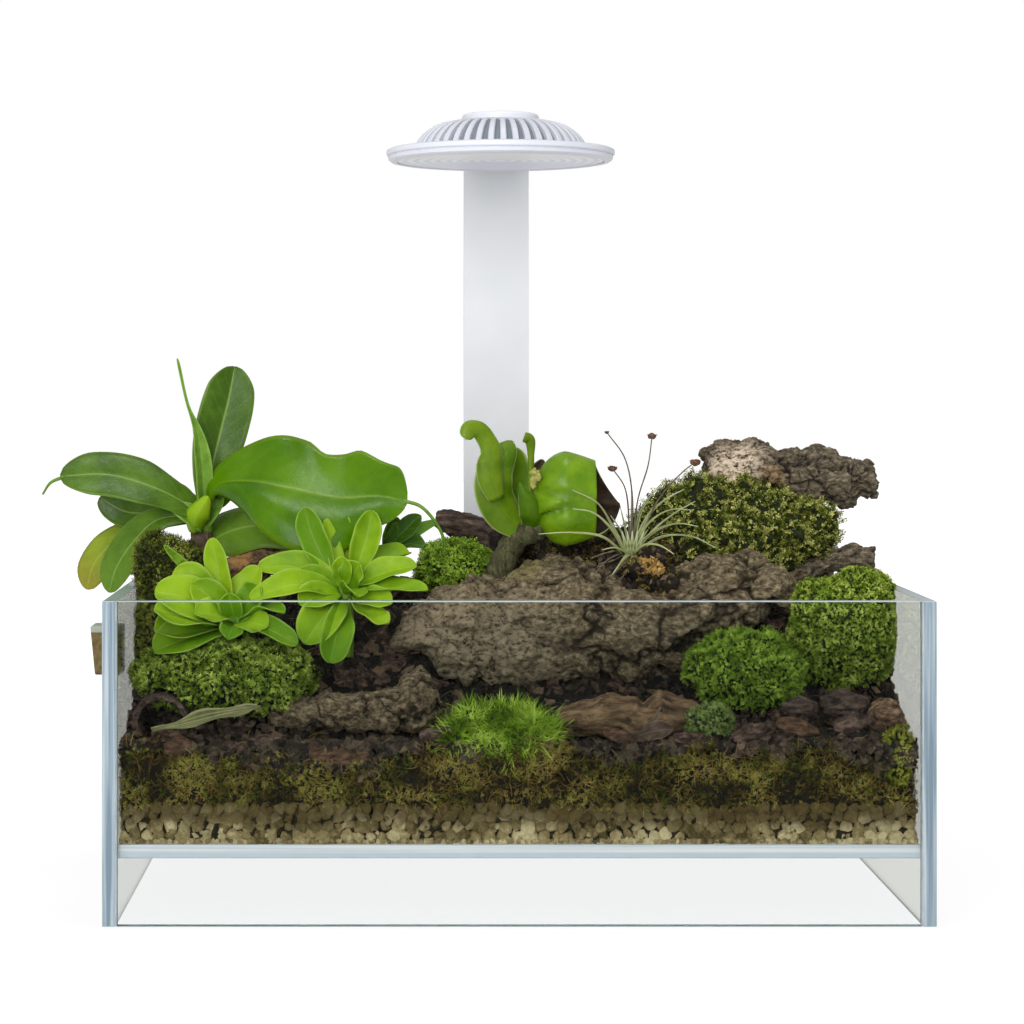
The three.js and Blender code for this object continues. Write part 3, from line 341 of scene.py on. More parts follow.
def damp_grains(name, dark, middle, light, grain, patch=None, stain=None):
    """Damp earth, gravel or lichen: matt grains, each with its own shade.

    stain is the colour that the peat leaves on the stones just under it.
    """
    made, tree, shader = new_material(name)
    tone = node(tree, "ShaderNodeAttribute", attribute_name="tone").outputs["Fac"]
    fine = spots(tree, grain, 6, 0.65)
    own_shade = node(tree, MATH, (tone, 0.45), operation="MULTIPLY")
    share = node(tree, MATH, (fine, 0.7, own_shade), operation="MULTIPLY_ADD")
    if patch:
        share = blotched(tree, share, patch, 2, -0.15, 0.15)
    colour = node(tree, RAMP, (share,), evenly(0.25, 0.85, dark, middle, light))
    if stain:
        stain_starts, stain_full = 36 * MM, 43 * MM
        height = node(tree, MATH, (spots(tree, 7, 3), 7 * MM, height_on_piece(tree)),
                      operation="MULTIPLY_ADD")
        colour = laid_over(tree, colour, stain, height, stain_starts, stain_full, 0.0, 0.85)
    rough = node(tree, MATH, (fine, spots(tree, 0.6, 3)), operation="ADD")
    join_sockets(tree, shader, {
        "Base Color": colour, "Roughness": 0.85, "Specular IOR Level": 0.3,
        "Normal": node(tree, BUMP, {"Height": rough, "Distance": 0.35 * MM, "Strength": 0.8}),
    })
    return made


# ---- sheets, bars and lumps, in the tank's millimetres ----
def curve_through(points, ts):
    """Places along a smooth curve through the points, at each t from 0 to 1."""
    p = np.array(points, float)
    ends = np.vstack([2 * p[:1] - p[1:2], p, 2 * p[-1:] - p[-2:-1]])
    spot = np.clip(ts, 0, 1) * (len(p) - 1)
    low = np.minimum(spot.astype(int), len(p) - 2)
    w = (spot - low)[:, None]
    a, b, c, d = (ends[low + k] for k in range(4))
    g = [np.maximum(np.linalg.norm(n - m, axis=1, keepdims=True), 1e-4) ** 0.5
         for m, n in ((a, b), (b, c), (c, d))]
    out = ((b - a) / g[0] - (c - a) / (g[0] + g[1]) + (c - b) / g[1]) * g[1]
    back = ((c - b) / g[1] - (d - b) / (g[1] + g[2]) + (d - c) / g[2]) * g[1]
    return b + out * w + (3 * (c - b) - 2 * out - back) * w ** 2 + (2 * (b - c) + out + back) * w ** 3


def eased(values, ts):
    """Numbers between the entries of a list, eased from one to the next without overshoot."""
    values = np.array(values, float)
    spot = np.clip(ts, 0, 1) * (len(values) - 1)
    low = np.minimum(spot.astype(int), len(values) - 2)
    slopes = np.gradient(values)
    flat = np.diff(values)
    turns = np.concatenate([[False], flat[:-1] * flat[1:] <= 0, [False]])
    slopes[turns] = 0
    w = spot - low
    a, b, m, n = values[low], values[low + 1], slopes[low], slopes[low + 1]
    return (a * (1 + 2 * w) * (1 - w) ** 2 + m * w * (1 - w) ** 2
            + b * w ** 2 * (3 - 2 * w) + n * w ** 2 * (w - 1))


def unit(vectors):
    """The same directions, each with a length of one."""
    return vectors / np.maximum(np.linalg.norm(vectors, axis=-1, keepdims=True), 1e-9)


def grid_faces(rows, columns, offset=0, closed=False):
    """Quads of a grid of points, row by row, joined round where it is closed."""
    faces = []
    row = columns if closed else columns + 1
    for i in range(rows):
        for j in range(columns):
            following = (j + 1) % columns if closed else j + 1
            near_row, far_row = offset + i * row, offset + (i + 1) * row
            faces.append((near_row + j, near_row + following, far_row + following, far_row + j))
    return faces


def marked(mesh, label, values):
    """Keeps one number for each point of a mesh, for a material to read."""
    attribute = mesh.attributes.new(label, "FLOAT", "POINT")
    attribute.data.foreach_set("value", np.array(values, np.float32))


def smoothed(mesh):
    """Shades a mesh as one soft surface."""
    mesh.polygons.foreach_set("use_smooth", np.ones(len(mesh.polygons), bool))


class Growth:
    """Gathers the leaves, stems and lumps of one piece until it is made a mesh."""

    def __init__(self):
        self.points, self.faces, self.uvs, self.tones, self.finishes = [], [], [], [], []

    def add(self, points, faces, uvs, tone, finish):
        """Takes in one closed shape, with its place on the leaf, its shade and its finish."""
        start = len(self.points)
        self.points.extend(map(tuple, points))
        self.uvs.extend(map(tuple, uvs))
        self.tones.extend([tone] * len(points))
        self.faces.extend(tuple(start + k for k in face) for face in faces)
        self.finishes.extend([finish] * len(faces))

    def leaf(self, midrib, widths, face, cup=0.25, wave=0.0, fold=0.0, rows=14, across=8, thick=0.6,
             lower=None, tone=0.5, finish=0, bend=None, round_end=0.1):
        """A leaf along its midrib: half widths, cupped, rippled and folded, of an even thickness.

        round_end is the share of the length that its rounded end takes.
        """
        ts = 1 - (1 - np.linspace(0, 1, rows + 1)) ** 1.25
        centre = curve_through(midrib, ts)
        ahead = unit(np.gradient(centre, axis=0))
        side = unit(np.cross(ahead, np.array(face, float)))
        up = np.cross(side, ahead)
        blunt = np.sqrt(np.clip(1 - (np.clip(ts - 1 + round_end, 0, 1) / round_end) ** 2, 0, 1))
        s = np.linspace(-1, 1, across + 1)
        one = np.maximum(eased(widths, ts) * (0.12 + 0.88 * blunt), 0.12)
        other = np.maximum(eased(lower or widths, ts) * (0.12 + 0.88 * blunt), 0.12)
        half = np.where(s[None, :] < 0, one[:, None], other[:, None])
        ripple = wave * np.sin(ts[:, None] * 14 + np.where(s > 0, 0, 1.7)[None, :]) * np.abs(s)[None, :] ** 2
        lift = cup * half * s[None, :] ** 2 + fold * half * np.abs(s)[None, :] + ripple
        if bend:
            lift = lift + bend(ts[:, None], s[None, :])
        sheet = (centre[:, None] + side[:, None] * (half * s[None, :])[..., None]
                 + up[:, None] * lift[..., None])
        skin = unit(np.cross(np.gradient(sheet, axis=1), np.gradient(sheet, axis=0)))
        taper = thick / 2 * (1 - 0.65 * np.abs(s) ** 4)[None, :, None]
        top = (sheet - skin * taper).reshape(-1, 3)
        under = (sheet + skin * taper).reshape(-1, 3)
        uv = np.stack(np.meshgrid(ts, (s + 1) / 2, indexing="ij")[::-1], -1).reshape(-1, 2)
        count, row = len(top), across + 1
        faces = grid_faces(rows, across) + [f[::-1] for f in grid_faces(rows, across, count)]
        border = (list(range(across)) + [i * row + across for i in range(rows)]
                  + [rows * row + j for j in range(across, 0, -1)] + [i * row for i in range(rows, 0, -1)])
        for a, b in zip(border, border[1:] + border[:1]):
            faces.append((b, a, count + a, count + b))
        self.add(np.vstack([top, under]), faces, np.vstack([uv, uv]), tone, finish)

    def bar(self, path, radii, sides=8, rows=10, tone=0.5, finish=0, rough=0.0, grain=4.0):
        """A stem, stalk or root along a path, as thick as its list of radii, closed at both ends."""
        ts = np.linspace(0, 1, rows + 1)
        centre = curve_through(path, ts)
        ahead = unit(np.gradient(centre, axis=0))
        level = unit(np.cross(ahead, np.array((0.31, 0.17, 0.93))))
        rise = np.cross(ahead, level)
        turn = np.arange(sides) / sides * math.tau
        radius = eased(radii, ts)[:, None]
        out = (np.cos(turn)[None, :, None] * level[:, None] + np.sin(turn)[None, :, None] * rise[:, None])
        if rough:
            seat = centre[:, None] + out * radius[..., None]
            wobble = np.array([noise.noise(Vector(p) / grain) for p in seat.reshape(-1, 3)])
            radius = radius + rough * wobble.reshape(rows + 1, sides)
        ring = centre[:, None] + out * np.broadcast_to(radius, out.shape[:2])[..., None]
        points = np.vstack([ring.reshape(-1, 3), centre[:1], centre[-1:]])
        faces = grid_faces(rows, sides, closed=True)
        first, last = len(points) - 2, len(points) - 1
        for j in range(sides):
            following = (j + 1) % sides
            faces.append((first, following, j))
            faces.append((last, rows * sides + j, rows * sides + following))
        uv = np.stack(np.meshgrid(ts, turn / math.tau, indexing="ij")[::-1], -1).reshape(-1, 2)
        self.add(points, faces, np.vstack([uv, [(0.5, 0)], [(0.5, 1)]]), tone, finish)

    def lump(self, centre, half, rough, grain, rows=10, sides=14, tone=0.5, finish=0):
        """A rounded lump of three half sizes, with a rough skin of a given grain."""
        points, uvs = [], []
        for i in range(rows + 1):
            polar = math.pi * i / rows
            for j in range(sides):
                turn = math.tau * j / sides
                way = np.array((math.sin(polar) * math.cos(turn), math.sin(polar) * math.sin(turn),
                                math.cos(polar)))
                spot = np.array(centre) + way * half
                spot = spot + way * half * rough * noise.noise(Vector(spot) / grain)
                points.append(spot)
                uvs.append((j / sides, i / rows))
        faces = [f[::-1] for f in grid_faces(rows, sides, closed=True)]
        self.add(points, faces, uvs, tone, finish)

    def piece(self, name, replaced, slot, materials):
        """Makes the gathered mesh a finished piece."""
        mesh = bpy.data.meshes.new(name)
        mesh.from_pydata(np.array(self.points) * MM + np.array(TANK_MIDDLE), [], self.faces)
        for part in materials:
            mesh.materials.append(part)
        layer = mesh.uv_layers.new(name="leaf")
        uvs = np.array(self.uvs, np.float32)
        corners = np.empty(len(mesh.loops), np.int32)
        mesh.loops.foreach_get("vertex_index", corners)
        layer.data.foreach_set("uv", uvs[corners].ravel())
        marked(mesh, "tone", self.tones)
        mesh.polygons.foreach_set("material_index", np.array(self.finishes, np.int32))
        smoothed(mesh)
        tidy(mesh)
        return finished(bpy.data.objects.new(name, mesh), replaced, slot)


def tidy(mesh):
    """Merges points that meet, drops empty faces and turns every face outwards."""
    work = bmesh.new()
    work.from_mesh(mesh)
    bmesh.ops.remove_doubles(work, verts=work.verts, dist=1e-6)
    bmesh.ops.dissolve_degenerate(work, edges=work.edges, dist=1e-7)
    bmesh.ops.recalc_face_normals(work, faces=work.faces)
    work.to_mesh(mesh)
    work.free()


def finished(piece, replaced, slot):
    """Puts a piece on the part's one body, in place of the nodes it stands for."""
    if piece.name not in SCENE.collection.objects:
        SCENE.collection.objects.link(piece)
    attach(piece, BODY)
    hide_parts(*([replaced] if isinstance(replaced, str) else replaced))
    return piece


# ---- rough bodies: bark, earth and the cushions under moss ----
def kept_behind_glass(mesh):
    """Presses what is lower than the tank's rim back behind the panes, within the last millimetre or so."""
    skin, room = 0.05, 1.2
    points = np.empty(len(mesh.vertices) * 3)
    mesh.vertices.foreach_get("co", points)
    mm = tank_mm(points.reshape(-1, 3))
    middle = np.array((0, (INNER_FRONT + INNER_BACK) / 2))
    half = np.array((INNER_SIDE, (INNER_BACK - INNER_FRONT) / 2)) - skin - room
    off = mm[:, :2] - middle
    past = np.maximum(np.abs(off) - half, 0)
    pressed = np.where(past > 0, np.sign(off) * (half + room * (1 - np.exp(-past / room))), off)
    low = mm[:, 2] < RIM
    mm[low, :2] = (middle + pressed)[low]
    mesh.vertices.foreach_set("co", (mm * MM + np.array(TANK_MIDDLE)).ravel())
    mesh.update()


def settled(holder):
    """Makes an object the plain mesh that its modifiers give."""
    seen = holder.evaluated_get(bpy.context.evaluated_depsgraph_get())
    mesh = bpy.data.meshes.new_from_object(seen)
    holder.modifiers.clear()
    holder.data = mesh
    return holder


def plain_copy(name, mesh, modifiers):
    """A mesh after its modifiers, as a new plain object that nothing else uses."""
    holder = bpy.data.objects.new(name, mesh)
    SCENE.collection.objects.link(holder)
    for kind, settings in modifiers.items():
        made = holder.modifiers.new(kind, kind)
        for key, value in settings.items():
            setattr(made, key, value)
    return settled(holder)


def merged_copy(node_name):
    """A copy of a solid of the frame, its loose triangles joined."""
    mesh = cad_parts[node_name].data.copy()
    work = bmesh.new()
    work.from_mesh(mesh)
    bmesh.ops.remove_doubles(work, verts=work.verts, dist=1e-5)
    work.to_mesh(mesh)
    work.free()
    mesh.materials.clear()
    return mesh


def weathered(name, node_name, voxel, shape, smooth):
    """A fine-meshed copy of a solid, smoothed, then pushed in and out along its normals by shape.

    shape gives, for a point and its normal, the millimetres to push it and how deep in a crevice
    it lies, from 0 to 1. The second is kept as the attribute hollow, for the painted shade in the crevices.
    """
    body = plain_copy(name, merged_copy(node_name), {
        "REMESH": {"mode": "VOXEL", "voxel_size": voxel * MM},
        "SMOOTH": {"factor": 0.5, "iterations": smooth},
    })
    mesh = body.data
    count = len(mesh.vertices)
    points, normals = np.empty(count * 3), np.empty(count * 3)
    mesh.vertices.foreach_get("co", points)
    mesh.vertices.foreach_get("normal", normals)
    points, normals = points.reshape(-1, 3), normals.reshape(-1, 3)
    mm = tank_mm(points)
    push, depth = np.array([shape(Vector(p), Vector(n)) for p, n in zip(mm, normals)]).T
    mesh.vertices.foreach_set("co", (points + normals * push[:, None] * MM).ravel())
    marked(mesh, "hollow", np.clip(depth, 0, 1))
    smoothed(mesh)
    kept_behind_glass(mesh)
    return body


def cells(point, size):
    """Distance to the nearest and next nearest lump centres, in lump sizes."""
    near_by = noise.voronoi(point / size)[0]
    return near_by[0], near_by[1]


# ---- growth: what repeats on a surface or at points ----
def new_tree(name, inputs, result):
    """An empty Geometry Nodes tree with its named inputs, and the outputs that give them."""
    tree = bpy.data.node_groups.new(name, "GeometryNodeTree")
    for label, kind in inputs.items():
        tree.interface.new_socket(label, in_out="INPUT", socket_type=f"NodeSocket{kind}")
    tree.interface.new_socket(result, in_out="OUTPUT", socket_type="NodeSocketGeometry")
    return tree, node(tree, "NodeGroupInput").outputs


def end_tree(tree, placed, finish, result):
    """Ends a tree: its instances become real and take their finish."""
    real = node(tree, "GeometryNodeRealizeInstances", (placed,))
    dressed = node(tree, "GeometryNodeSetMaterial", {"Geometry": real, "Material": finish})
    node(tree, "NodeGroupOutput", {result: dressed})
    return tree


GROWTH_INPUTS = {
    "Surface": "Geometry", "Shoots": "Collection", "Shoots per square millimetre": "Float",
    "Patch size in metres": "Float", "Patchiness": "Float", "Lowest slope": "Float",
    "Highest slope": "Float", "Smallest": "Float", "Largest": "Float", "Tilt": "Float",
    "Upright": "Float", "Seed": "Int", "Finish": "Material",
}


def spread_over_faces(tree, given):
    """Points all over a surface, thinner between patches and only on slopes within two limits."""
    normal = node(tree, "GeometryNodeInputNormal").outputs["Normal"]
    slope = node(tree, "ShaderNodeVectorMath", (normal, (0.0, 0.0, 1.0)), operation="DOT_PRODUCT")
    above = node(tree, "FunctionNodeCompare", (slope, given["Lowest slope"]), operation="GREATER_THAN")
    below = node(tree, "FunctionNodeCompare", (slope, given["Highest slope"]), operation="LESS_THAN")
    wanted = node(tree, "FunctionNodeBooleanMath", (above, below), operation="AND")
    size = node(tree, MATH, (1.0, given["Patch size in metres"]), operation="DIVIDE")
    patch = node(tree, "ShaderNodeTexNoise", {
        "Vector": node(tree, "GeometryNodeInputPosition"), "Scale": size})
    least = node(tree, MATH, (1.0, given["Patchiness"]), operation="SUBTRACT")
    share = node(tree, STEP, (patch, 0.4, 0.56, least))
    per_metre = node(tree, MATH, (given["Shoots per square millimetre"], 1e6), operation="MULTIPLY")
    density = node(tree, MATH, (per_metre, share), operation="MULTIPLY")
    return node(tree, "GeometryNodeDistributePointsOnFaces", {
        "Mesh": given["Surface"], "Selection": wanted, "Density": density, "Seed": given["Seed"]}).outputs


def growth_tree(name, on_faces):
    """A tree that sets shoots on a surface's faces, or on each of its points."""
    tree, given = new_tree(name, GROWTH_INPUTS, "Growth")
    upright = {"Factor": given["Upright"], "Vector": (0.0, 0.0, 1.0)}
    if on_faces:
        spread = spread_over_faces(tree, given)
        points, upright["Rotation"] = spread["Points"], spread["Rotation"]
    else:
        points = node(tree, "GeometryNodeMeshToPoints", {"Mesh": given["Surface"]})
    lean = node(tree, MATH, (given["Tilt"], -1.0), operation="MULTIPLY")
    turned = node(tree, "FunctionNodeRandomValue", {
        "Min": node(tree, "ShaderNodeCombineXYZ", (lean, lean, 0.0)),
        "Max": node(tree, "ShaderNodeCombineXYZ", (given["Tilt"], given["Tilt"], math.tau)),
        "Seed": given["Seed"],
    }, data_type="FLOAT_VECTOR")
    rotation = node(tree, "FunctionNodeRotateRotation", {
        "Rotation": node(tree, "FunctionNodeAlignRotationToVector", upright, axis="Z"),
        "Rotate By": node(tree, "FunctionNodeEulerToRotation", (turned,)),
    }, rotation_space="LOCAL")
    scale = node(tree, "FunctionNodeRandomValue", {
        2: given["Smallest"], 3: given["Largest"], "Seed": given["Seed"]}, data_type="FLOAT")
    shoots = node(tree, "GeometryNodeCollectionInfo", {
        "Collection": given["Shoots"], "Separate Children": True, "Reset Children": True})
    placed = node(tree, "GeometryNodeInstanceOnPoints", {
        "Points": points, "Instance": shoots, "Pick Instance": True, "Rotation": rotation, "Scale": scale})
    tone = node(tree, "FunctionNodeRandomValue", {2: 0.0, 3: 1.0, "Seed": 7}, data_type="FLOAT")
    toned = node(tree, "GeometryNodeStoreNamedAttribute", {
        "Geometry": placed, "Name": "tone", "Value": tone}, data_type="FLOAT", domain="INSTANCE")
    return end_tree(tree, toned, given["Finish"], "Growth")


ON_SURFACE = growth_tree("growth on a surface", True)
AT_POINTS = growth_tree("growth at points", False)


def grown(name, surface, tree, values, replaced, slot):
    """Runs a growth tree on a surface and makes the result a finished plain mesh."""
    holder = bpy.data.objects.new(name, surface)
    SCENE.collection.objects.link(holder)
    modifier = holder.modifiers.new("growth", "NODES")
    modifier.node_group = tree
    sockets = {item.name: item.identifier for item in tree.interface.items_tree}
    for label, value in values.items():
        modifier[sockets[label]] = value
    kept_behind_glass(settled(holder).data)
    return finished(holder, replaced, slot)


def shoot(name, variants, seed, build, **measures):
    """A small collection of shapes for growth: build makes each from a random source and its measures."""
    kinds = bpy.data.collections.new(name)
    for n in range(variants):
        chance = random.Random(seed * 31 + n)
        points, faces, tips = build(chance, **measures)
        mesh = bpy.data.meshes.new(f"{name}_{n}")
        mesh.from_pydata([Vector(p) * MM for p in points], [], faces)
        marked(mesh, "tip", tips)
        kinds.objects.link(bpy.data.objects.new(mesh.name, mesh))
    return kinds


def blades(chance, count, length, width, spread, steps, root, curl):
    """Slim blades that leave one point and bend outwards, each a strip that ends in a tip."""
    points, faces, tips = [], [], []
    for n in range(count):
        turn = math.tau * (n + chance.random()) / count
        lean = spread * (0.35 + 0.65 * chance.random())
        long = length * chance.uniform(0.7, 1.15)
        out = Vector((math.cos(turn), math.sin(turn), 0))
        side = Vector((-math.sin(turn), math.cos(turn), 0))
        start = len(points)
        for k in range(steps):
            t = k / steps
            angle = lean + curl * t
            spot = out * math.sin(angle) * long * t + Vector((0, 0, math.cos(angle) * long * t + root))
            half = width / 2 * (1 - 0.45 * t)
            points += [spot - side * half, spot + side * half]
            tips += [t, t]
        angle = lean + curl
        points.append(out * math.sin(angle) * long + Vector((0, 0, math.cos(angle) * long + root)))
        tips.append(1.0)
        for k in range(steps - 1):
            a = start + 2 * k
            faces.append((a, a + 1, a + 3, a + 2))
        faces.append((start + 2 * steps - 2, start + 2 * steps - 1, start + 2 * steps))
    return points, faces, tips


def leaflets(chance, length, pairs, size, width, droop=0.2):
    """A sprig: a slim stem with leaflets up it, each a bent diamond."""
    points, faces, tips = [], [], []
    bend = chance.uniform(-droop, droop)
    for k in range(pairs):
        t = (k + 0.6) / pairs
        stem = Vector((bend * length * t * t, 0, length * t))
        for turn in (0, math.pi):
            turn = turn + k * 1.3 + chance.uniform(-0.5, 0.5)
            rise = chance.uniform(0.25, 0.9)
            way = Vector((math.cos(turn) * math.cos(rise), math.sin(turn) * math.cos(rise), math.sin(rise)))
            side = Vector((-math.sin(turn), math.cos(turn), 0)) * width / 2
            long = size * chance.uniform(0.7, 1.15) * (1 - 0.35 * t)
            a = len(points)
            middle = stem + way * long * 0.5 + Vector((0, 0, 0.12 * long))
            points += [stem, middle - side, stem + way * long, middle + side]
            tips += [0.25 + 0.4 * t, 0.35 + 0.55 * t, 0.6 + 0.4 * t, 0.35 + 0.55 * t]
            faces.append((a, a + 1, a + 2, a + 3))
    a = len(points)
    points += [(-0.1, 0, -0.6), (0.1, 0, -0.6), (bend * length, 0, length)]
    tips += [0.0, 0.0, 0.6]
    faces.append((a, a + 1, a + 2))
    return points, faces, tips


def pebble(chance, size, rough, level):
    """A small worn stone or crumb of earth."""
    work = bmesh.new()
    bmesh.ops.create_icosphere(work, subdivisions=level, radius=1)
    shift = Vector((chance.random() * 90, chance.random() * 90, 0))
    points = []
    for vert in work.verts:
        p = vert.co * (1 + rough * 2 * noise.noise(vert.co * 1.3 + shift))
        points.append(Vector((p.x * size[0], p.y * size[1], p.z * size[2])) * chance.uniform(0.97, 1.03))
    faces = [tuple(v.index for v in face.verts) for face in work.faces]
    work.free()
    return points, faces, [0.5] * len(points)


def flake(chance, size, thin):
    """A scrap of dead leaf or bark: thin, angular and bent."""
    count = 6
    rim = []
    for n in range(count):
        turn = math.tau * n / count
        far = size * chance.uniform(0.45, 1.0)
        bent = 0.35 * size * chance.uniform(-1, 1)
        rim.append(Vector((math.cos(turn) * far, math.sin(turn) * far * 0.6, bent)))
    points = [p + Vector((0, 0, thin / 2)) for p in rim] + [p - Vector((0, 0, thin / 2)) for p in rim]
    points += [Vector((0, 0, thin / 2 + 0.2 * size)), Vector((0, 0, 0.2 * size - thin / 2))]
    faces = []
    for n in range(count):
        following = (n + 1) % count
        faces += [(2 * count, n, following), (2 * count + 1, count + following, count + n),
                  (n, count + n, count + following, following)]
    return points, faces, [0.5] * len(points)


# ---- finishes ----
CLEAR_GLASS = float_glass("clear float glass", "#f9fcfb")
FILMED_GLASS = float_glass("float glass with a faint film of lime", "#e3e2dd")
UPRIGHT_EDGE = ground_glass_edge("upright ground glass edge", (1, 1, 0.02), "#7d92a2", "#a0b2bf", "#c4d1da")
# Its shaded tint is painted shade on the lower half of the floor plate's edge.
LEVEL_EDGE = ground_glass_edge("level ground glass edge", (0.01, 0.01, 1.5), "#e2e8f0", "#f4f8fc", "#ffffff",
                               shaded="#dae6f2", clear=0.0)
# The level rims of the front and back panes: their colour is darkened as painted shade against the strong top
# light.
DARKENED_RIM_EDGE = ground_glass_edge("polished rim of the glass", (0.01, 0.01, 1.5), "#9faab2", "#b6c1c8",
                             "#cfd7dc", clear=0.0)
GLASS_ARRIS = arris_glass("ground glass arris")
LAMP_WHITE = powder_coat("white powder-coated aluminium", "#eaecf4", "#e2e4ee")
POST_WHITE = powder_coat("pale powder-coated steel", "#ebedf0", "#e3e6e9", 0.5)
# A darker copy of the lamp's white for the dome, its bands and its ribs: painted shade against the strong top
# light.
DIMMED_DOME_WHITE = powder_coat("white powder-coated casting", "#d9dbe3", "#cfd1da")
# A grey copy of the lamp's white, for the inside of the dome behind its slots: painted shade.
SLOT_PAINTED_SHADE = powder_coat("shaded aluminium behind the slots", "#8a929c", "#767e88", 0.6)
SOLDER_MASK = powder_coat("white solder mask", "#f0ead8", "#e2dcc8")
LENS = frosted_polycarbonate("frosted polycarbonate lens")
BLACK_ABS = moulded_abs("black moulded ABS", "#26262a")
PITCHER_LEAF = leaf_skin("waxy pitcher-plant leaf", "#3e5e10", "#648826", "#9ab85c", "#7ea03c", 9, 0.28, 14,
                         0.04, wax=0.2)
BROAD_LEAF = leaf_skin("broad glossy leaf", "#3c6800", "#608c02", "#86a62c", "#8aaa2c", 6, 0.22, 30,
                       0.04, 0.35, wax=0.22)
YELLOW_LEAF = leaf_skin("yellowing pitcher-plant leaf", "#627a1e", "#8a9a2c", "#a8b048", "#989040", 8, 0.36,
                        10, tip="#968c34")
ROSETTE_LEAF = leaf_skin("soft rosette leaf", "#5c8a0c", "#8fb31c", "#b0cc58", "#b0cc5c", 5, 0.4, 14, 0.03,
                         0.3, 0.4)
POUCH_LEAF = leaf_skin("fleshy pouch-plant leaf", "#466a08", "#74901a", "#94b040", "#c0cf8c", 4, 0.28, 12,
                       0.03, 0.0, 0.8)
POUCH_SKIN = leaf_skin("taut skin of the pouch", "#4a7408", "#7ba016", "#90b038", "#90b038", 4, 0.24, 11, 0.0,
                       0.0, 0.0, wax=0.25)
CREEPER_LEAF = leaf_skin("small dark creeper leaf", "#3c6212", "#628e28", "#8fae54", "#749c3c", 5, 0.38, 6)
SILVER_LEAF = leaf_skin("silvery ribbon leaf", "#5c6430", "#949c62", "#bcc498", "#a4ac76", 20, 0.6, 3, 0.0,
                        0.25, lines=1.5, tip="#c8cea8")
DRY_LEAF = leaf_skin("dry curled leaf", "#5c5e34", "#8a8c58", "#bab88e", "#cac8a2", 2, 0.7, 4, lines=5)
DEAD_LEAF = leaf_skin("dead brown leaf", "#403228", "#6c5c4e", "#8e7e6c", "#ab9b88", 5, 0.8, 3)
FLOWER_HEAD = bark_skin("dried flower heads", "#32231b", "#6a4c3e", "#946f5a", 1.2)
STALK = leaf_skin("dry flower stalk", "#544a3c", "#7c715e", "#8b806c", "#8b806c", 3, 0.65, 2)
SCAR = leaf_skin("corky scar on the pouch", "#7a7a34", "#b9b46a", "#d6cf9a", "#c0b878", 3, 0.7, 1.6, 0.0,
                 0.0, 0.0)
POUCH_INSIDE = leaf_skin("inside of the open pouch", "#2a2019", "#4a3a29", "#64523c", "#b8b088", 3, 0.6, 3,
                         0.2, 0.0, 0.5)
WOODY_ROOT = bark_skin("woody grey-green root", "#242216", "#535238", "#75724f", 1.6, (1, 1, 0.25))
PLANT_STEM = leaf_skin("green plant stem", "#4d7620", "#7ba23c", "#93b254", "#93b254", 5, 0.36, 5)

# The last two patches are painted light: a paler grey-brown on the raised grain of the middle log's left end,
# which lies in shade.
ROUGH_BARK = bark_skin("rough grey-brown bark", "#221b12", "#6c5f48", "#a29577", 1.5, (0.6, 1, 1),
                       [((52, -30, 122), 16, "#8a7c44"), ((4, -40, 128), 14, "#7d7648"),
                        ((-38, -50, 106), 20, "#9a8970"),
                        ((-10, -52, 92), 36, "#988a70")])
CORK_BARK = bark_skin("corky bark", "#1c1712", "#655a49", "#9a8e76", 1.5, (0.5, 1, 1),
                      [((90, -6, 163), 16, "#f4dfc4"), ((104, -6, 157), 8, "#b89870")])
BROWN_ROOT = bark_skin("brown root bark", "#231a12", "#66513a", "#987e5c", 3.0, (0.25, 1, 1))
DARK_WOOD = bark_skin("wet dark wood", "#171210", "#4a3c34", "#76665a", 2.4, (0.3, 1, 1))
TAN_BARK = bark_skin("reddish-tan bark", "#2b1f17", "#725a44", "#a88c70", 2.0, (0.4, 1, 1),
                     [((-106, -8, 124), 10, "#c8985c")])
LEFT_BARK = bark_skin("rough dark bark", "#201a12", "#685a44", "#a08f70", 1.5, (0.6, 1, 1))
BARK_SCRAP = bark_skin("broken scraps of bark", "#181210", "#4e3d35", "#846d60", 2.0, (0.5, 1, 1))
RED_SCRAP = bark_skin("tan inner bark", "#20150f", "#55402f", "#836450", 1.6, (0.4, 1, 1))

CUSHION_MOSS = moss_leaflet("cushion moss leaflets", "#26330b", "#7a9628", "#cede6a", 4.0, 0.45)
DARK_MOSS = moss_leaflet("dark olive moss leaflets", "#20260c", "#565f1e", "#989e42", 9, 0.7)
BRIGHT_MOSS = moss_leaflet("bright moss leaflets", "#283d0a", "#76982a", "#bede58", 4.0, 0.4)
GRASSY_MOSS = moss_leaflet("grassy moss blades", "#344c0e", "#84ac24", "#cae45e", 10, 0.6)
FEATHERY_MOSS = moss_leaflet("feathery moss fronds", "#2c340e", "#6f7a2a", "#c2c26e", 3.2, 0.8)
PALE_MOSS = moss_leaflet("pale fine moss", "#36421c", "#7a9048", "#b2c67c")
YELLOW_MOSS = moss_leaflet("yellow-green moss", "#464a18", "#90982e", "#c6c45a")
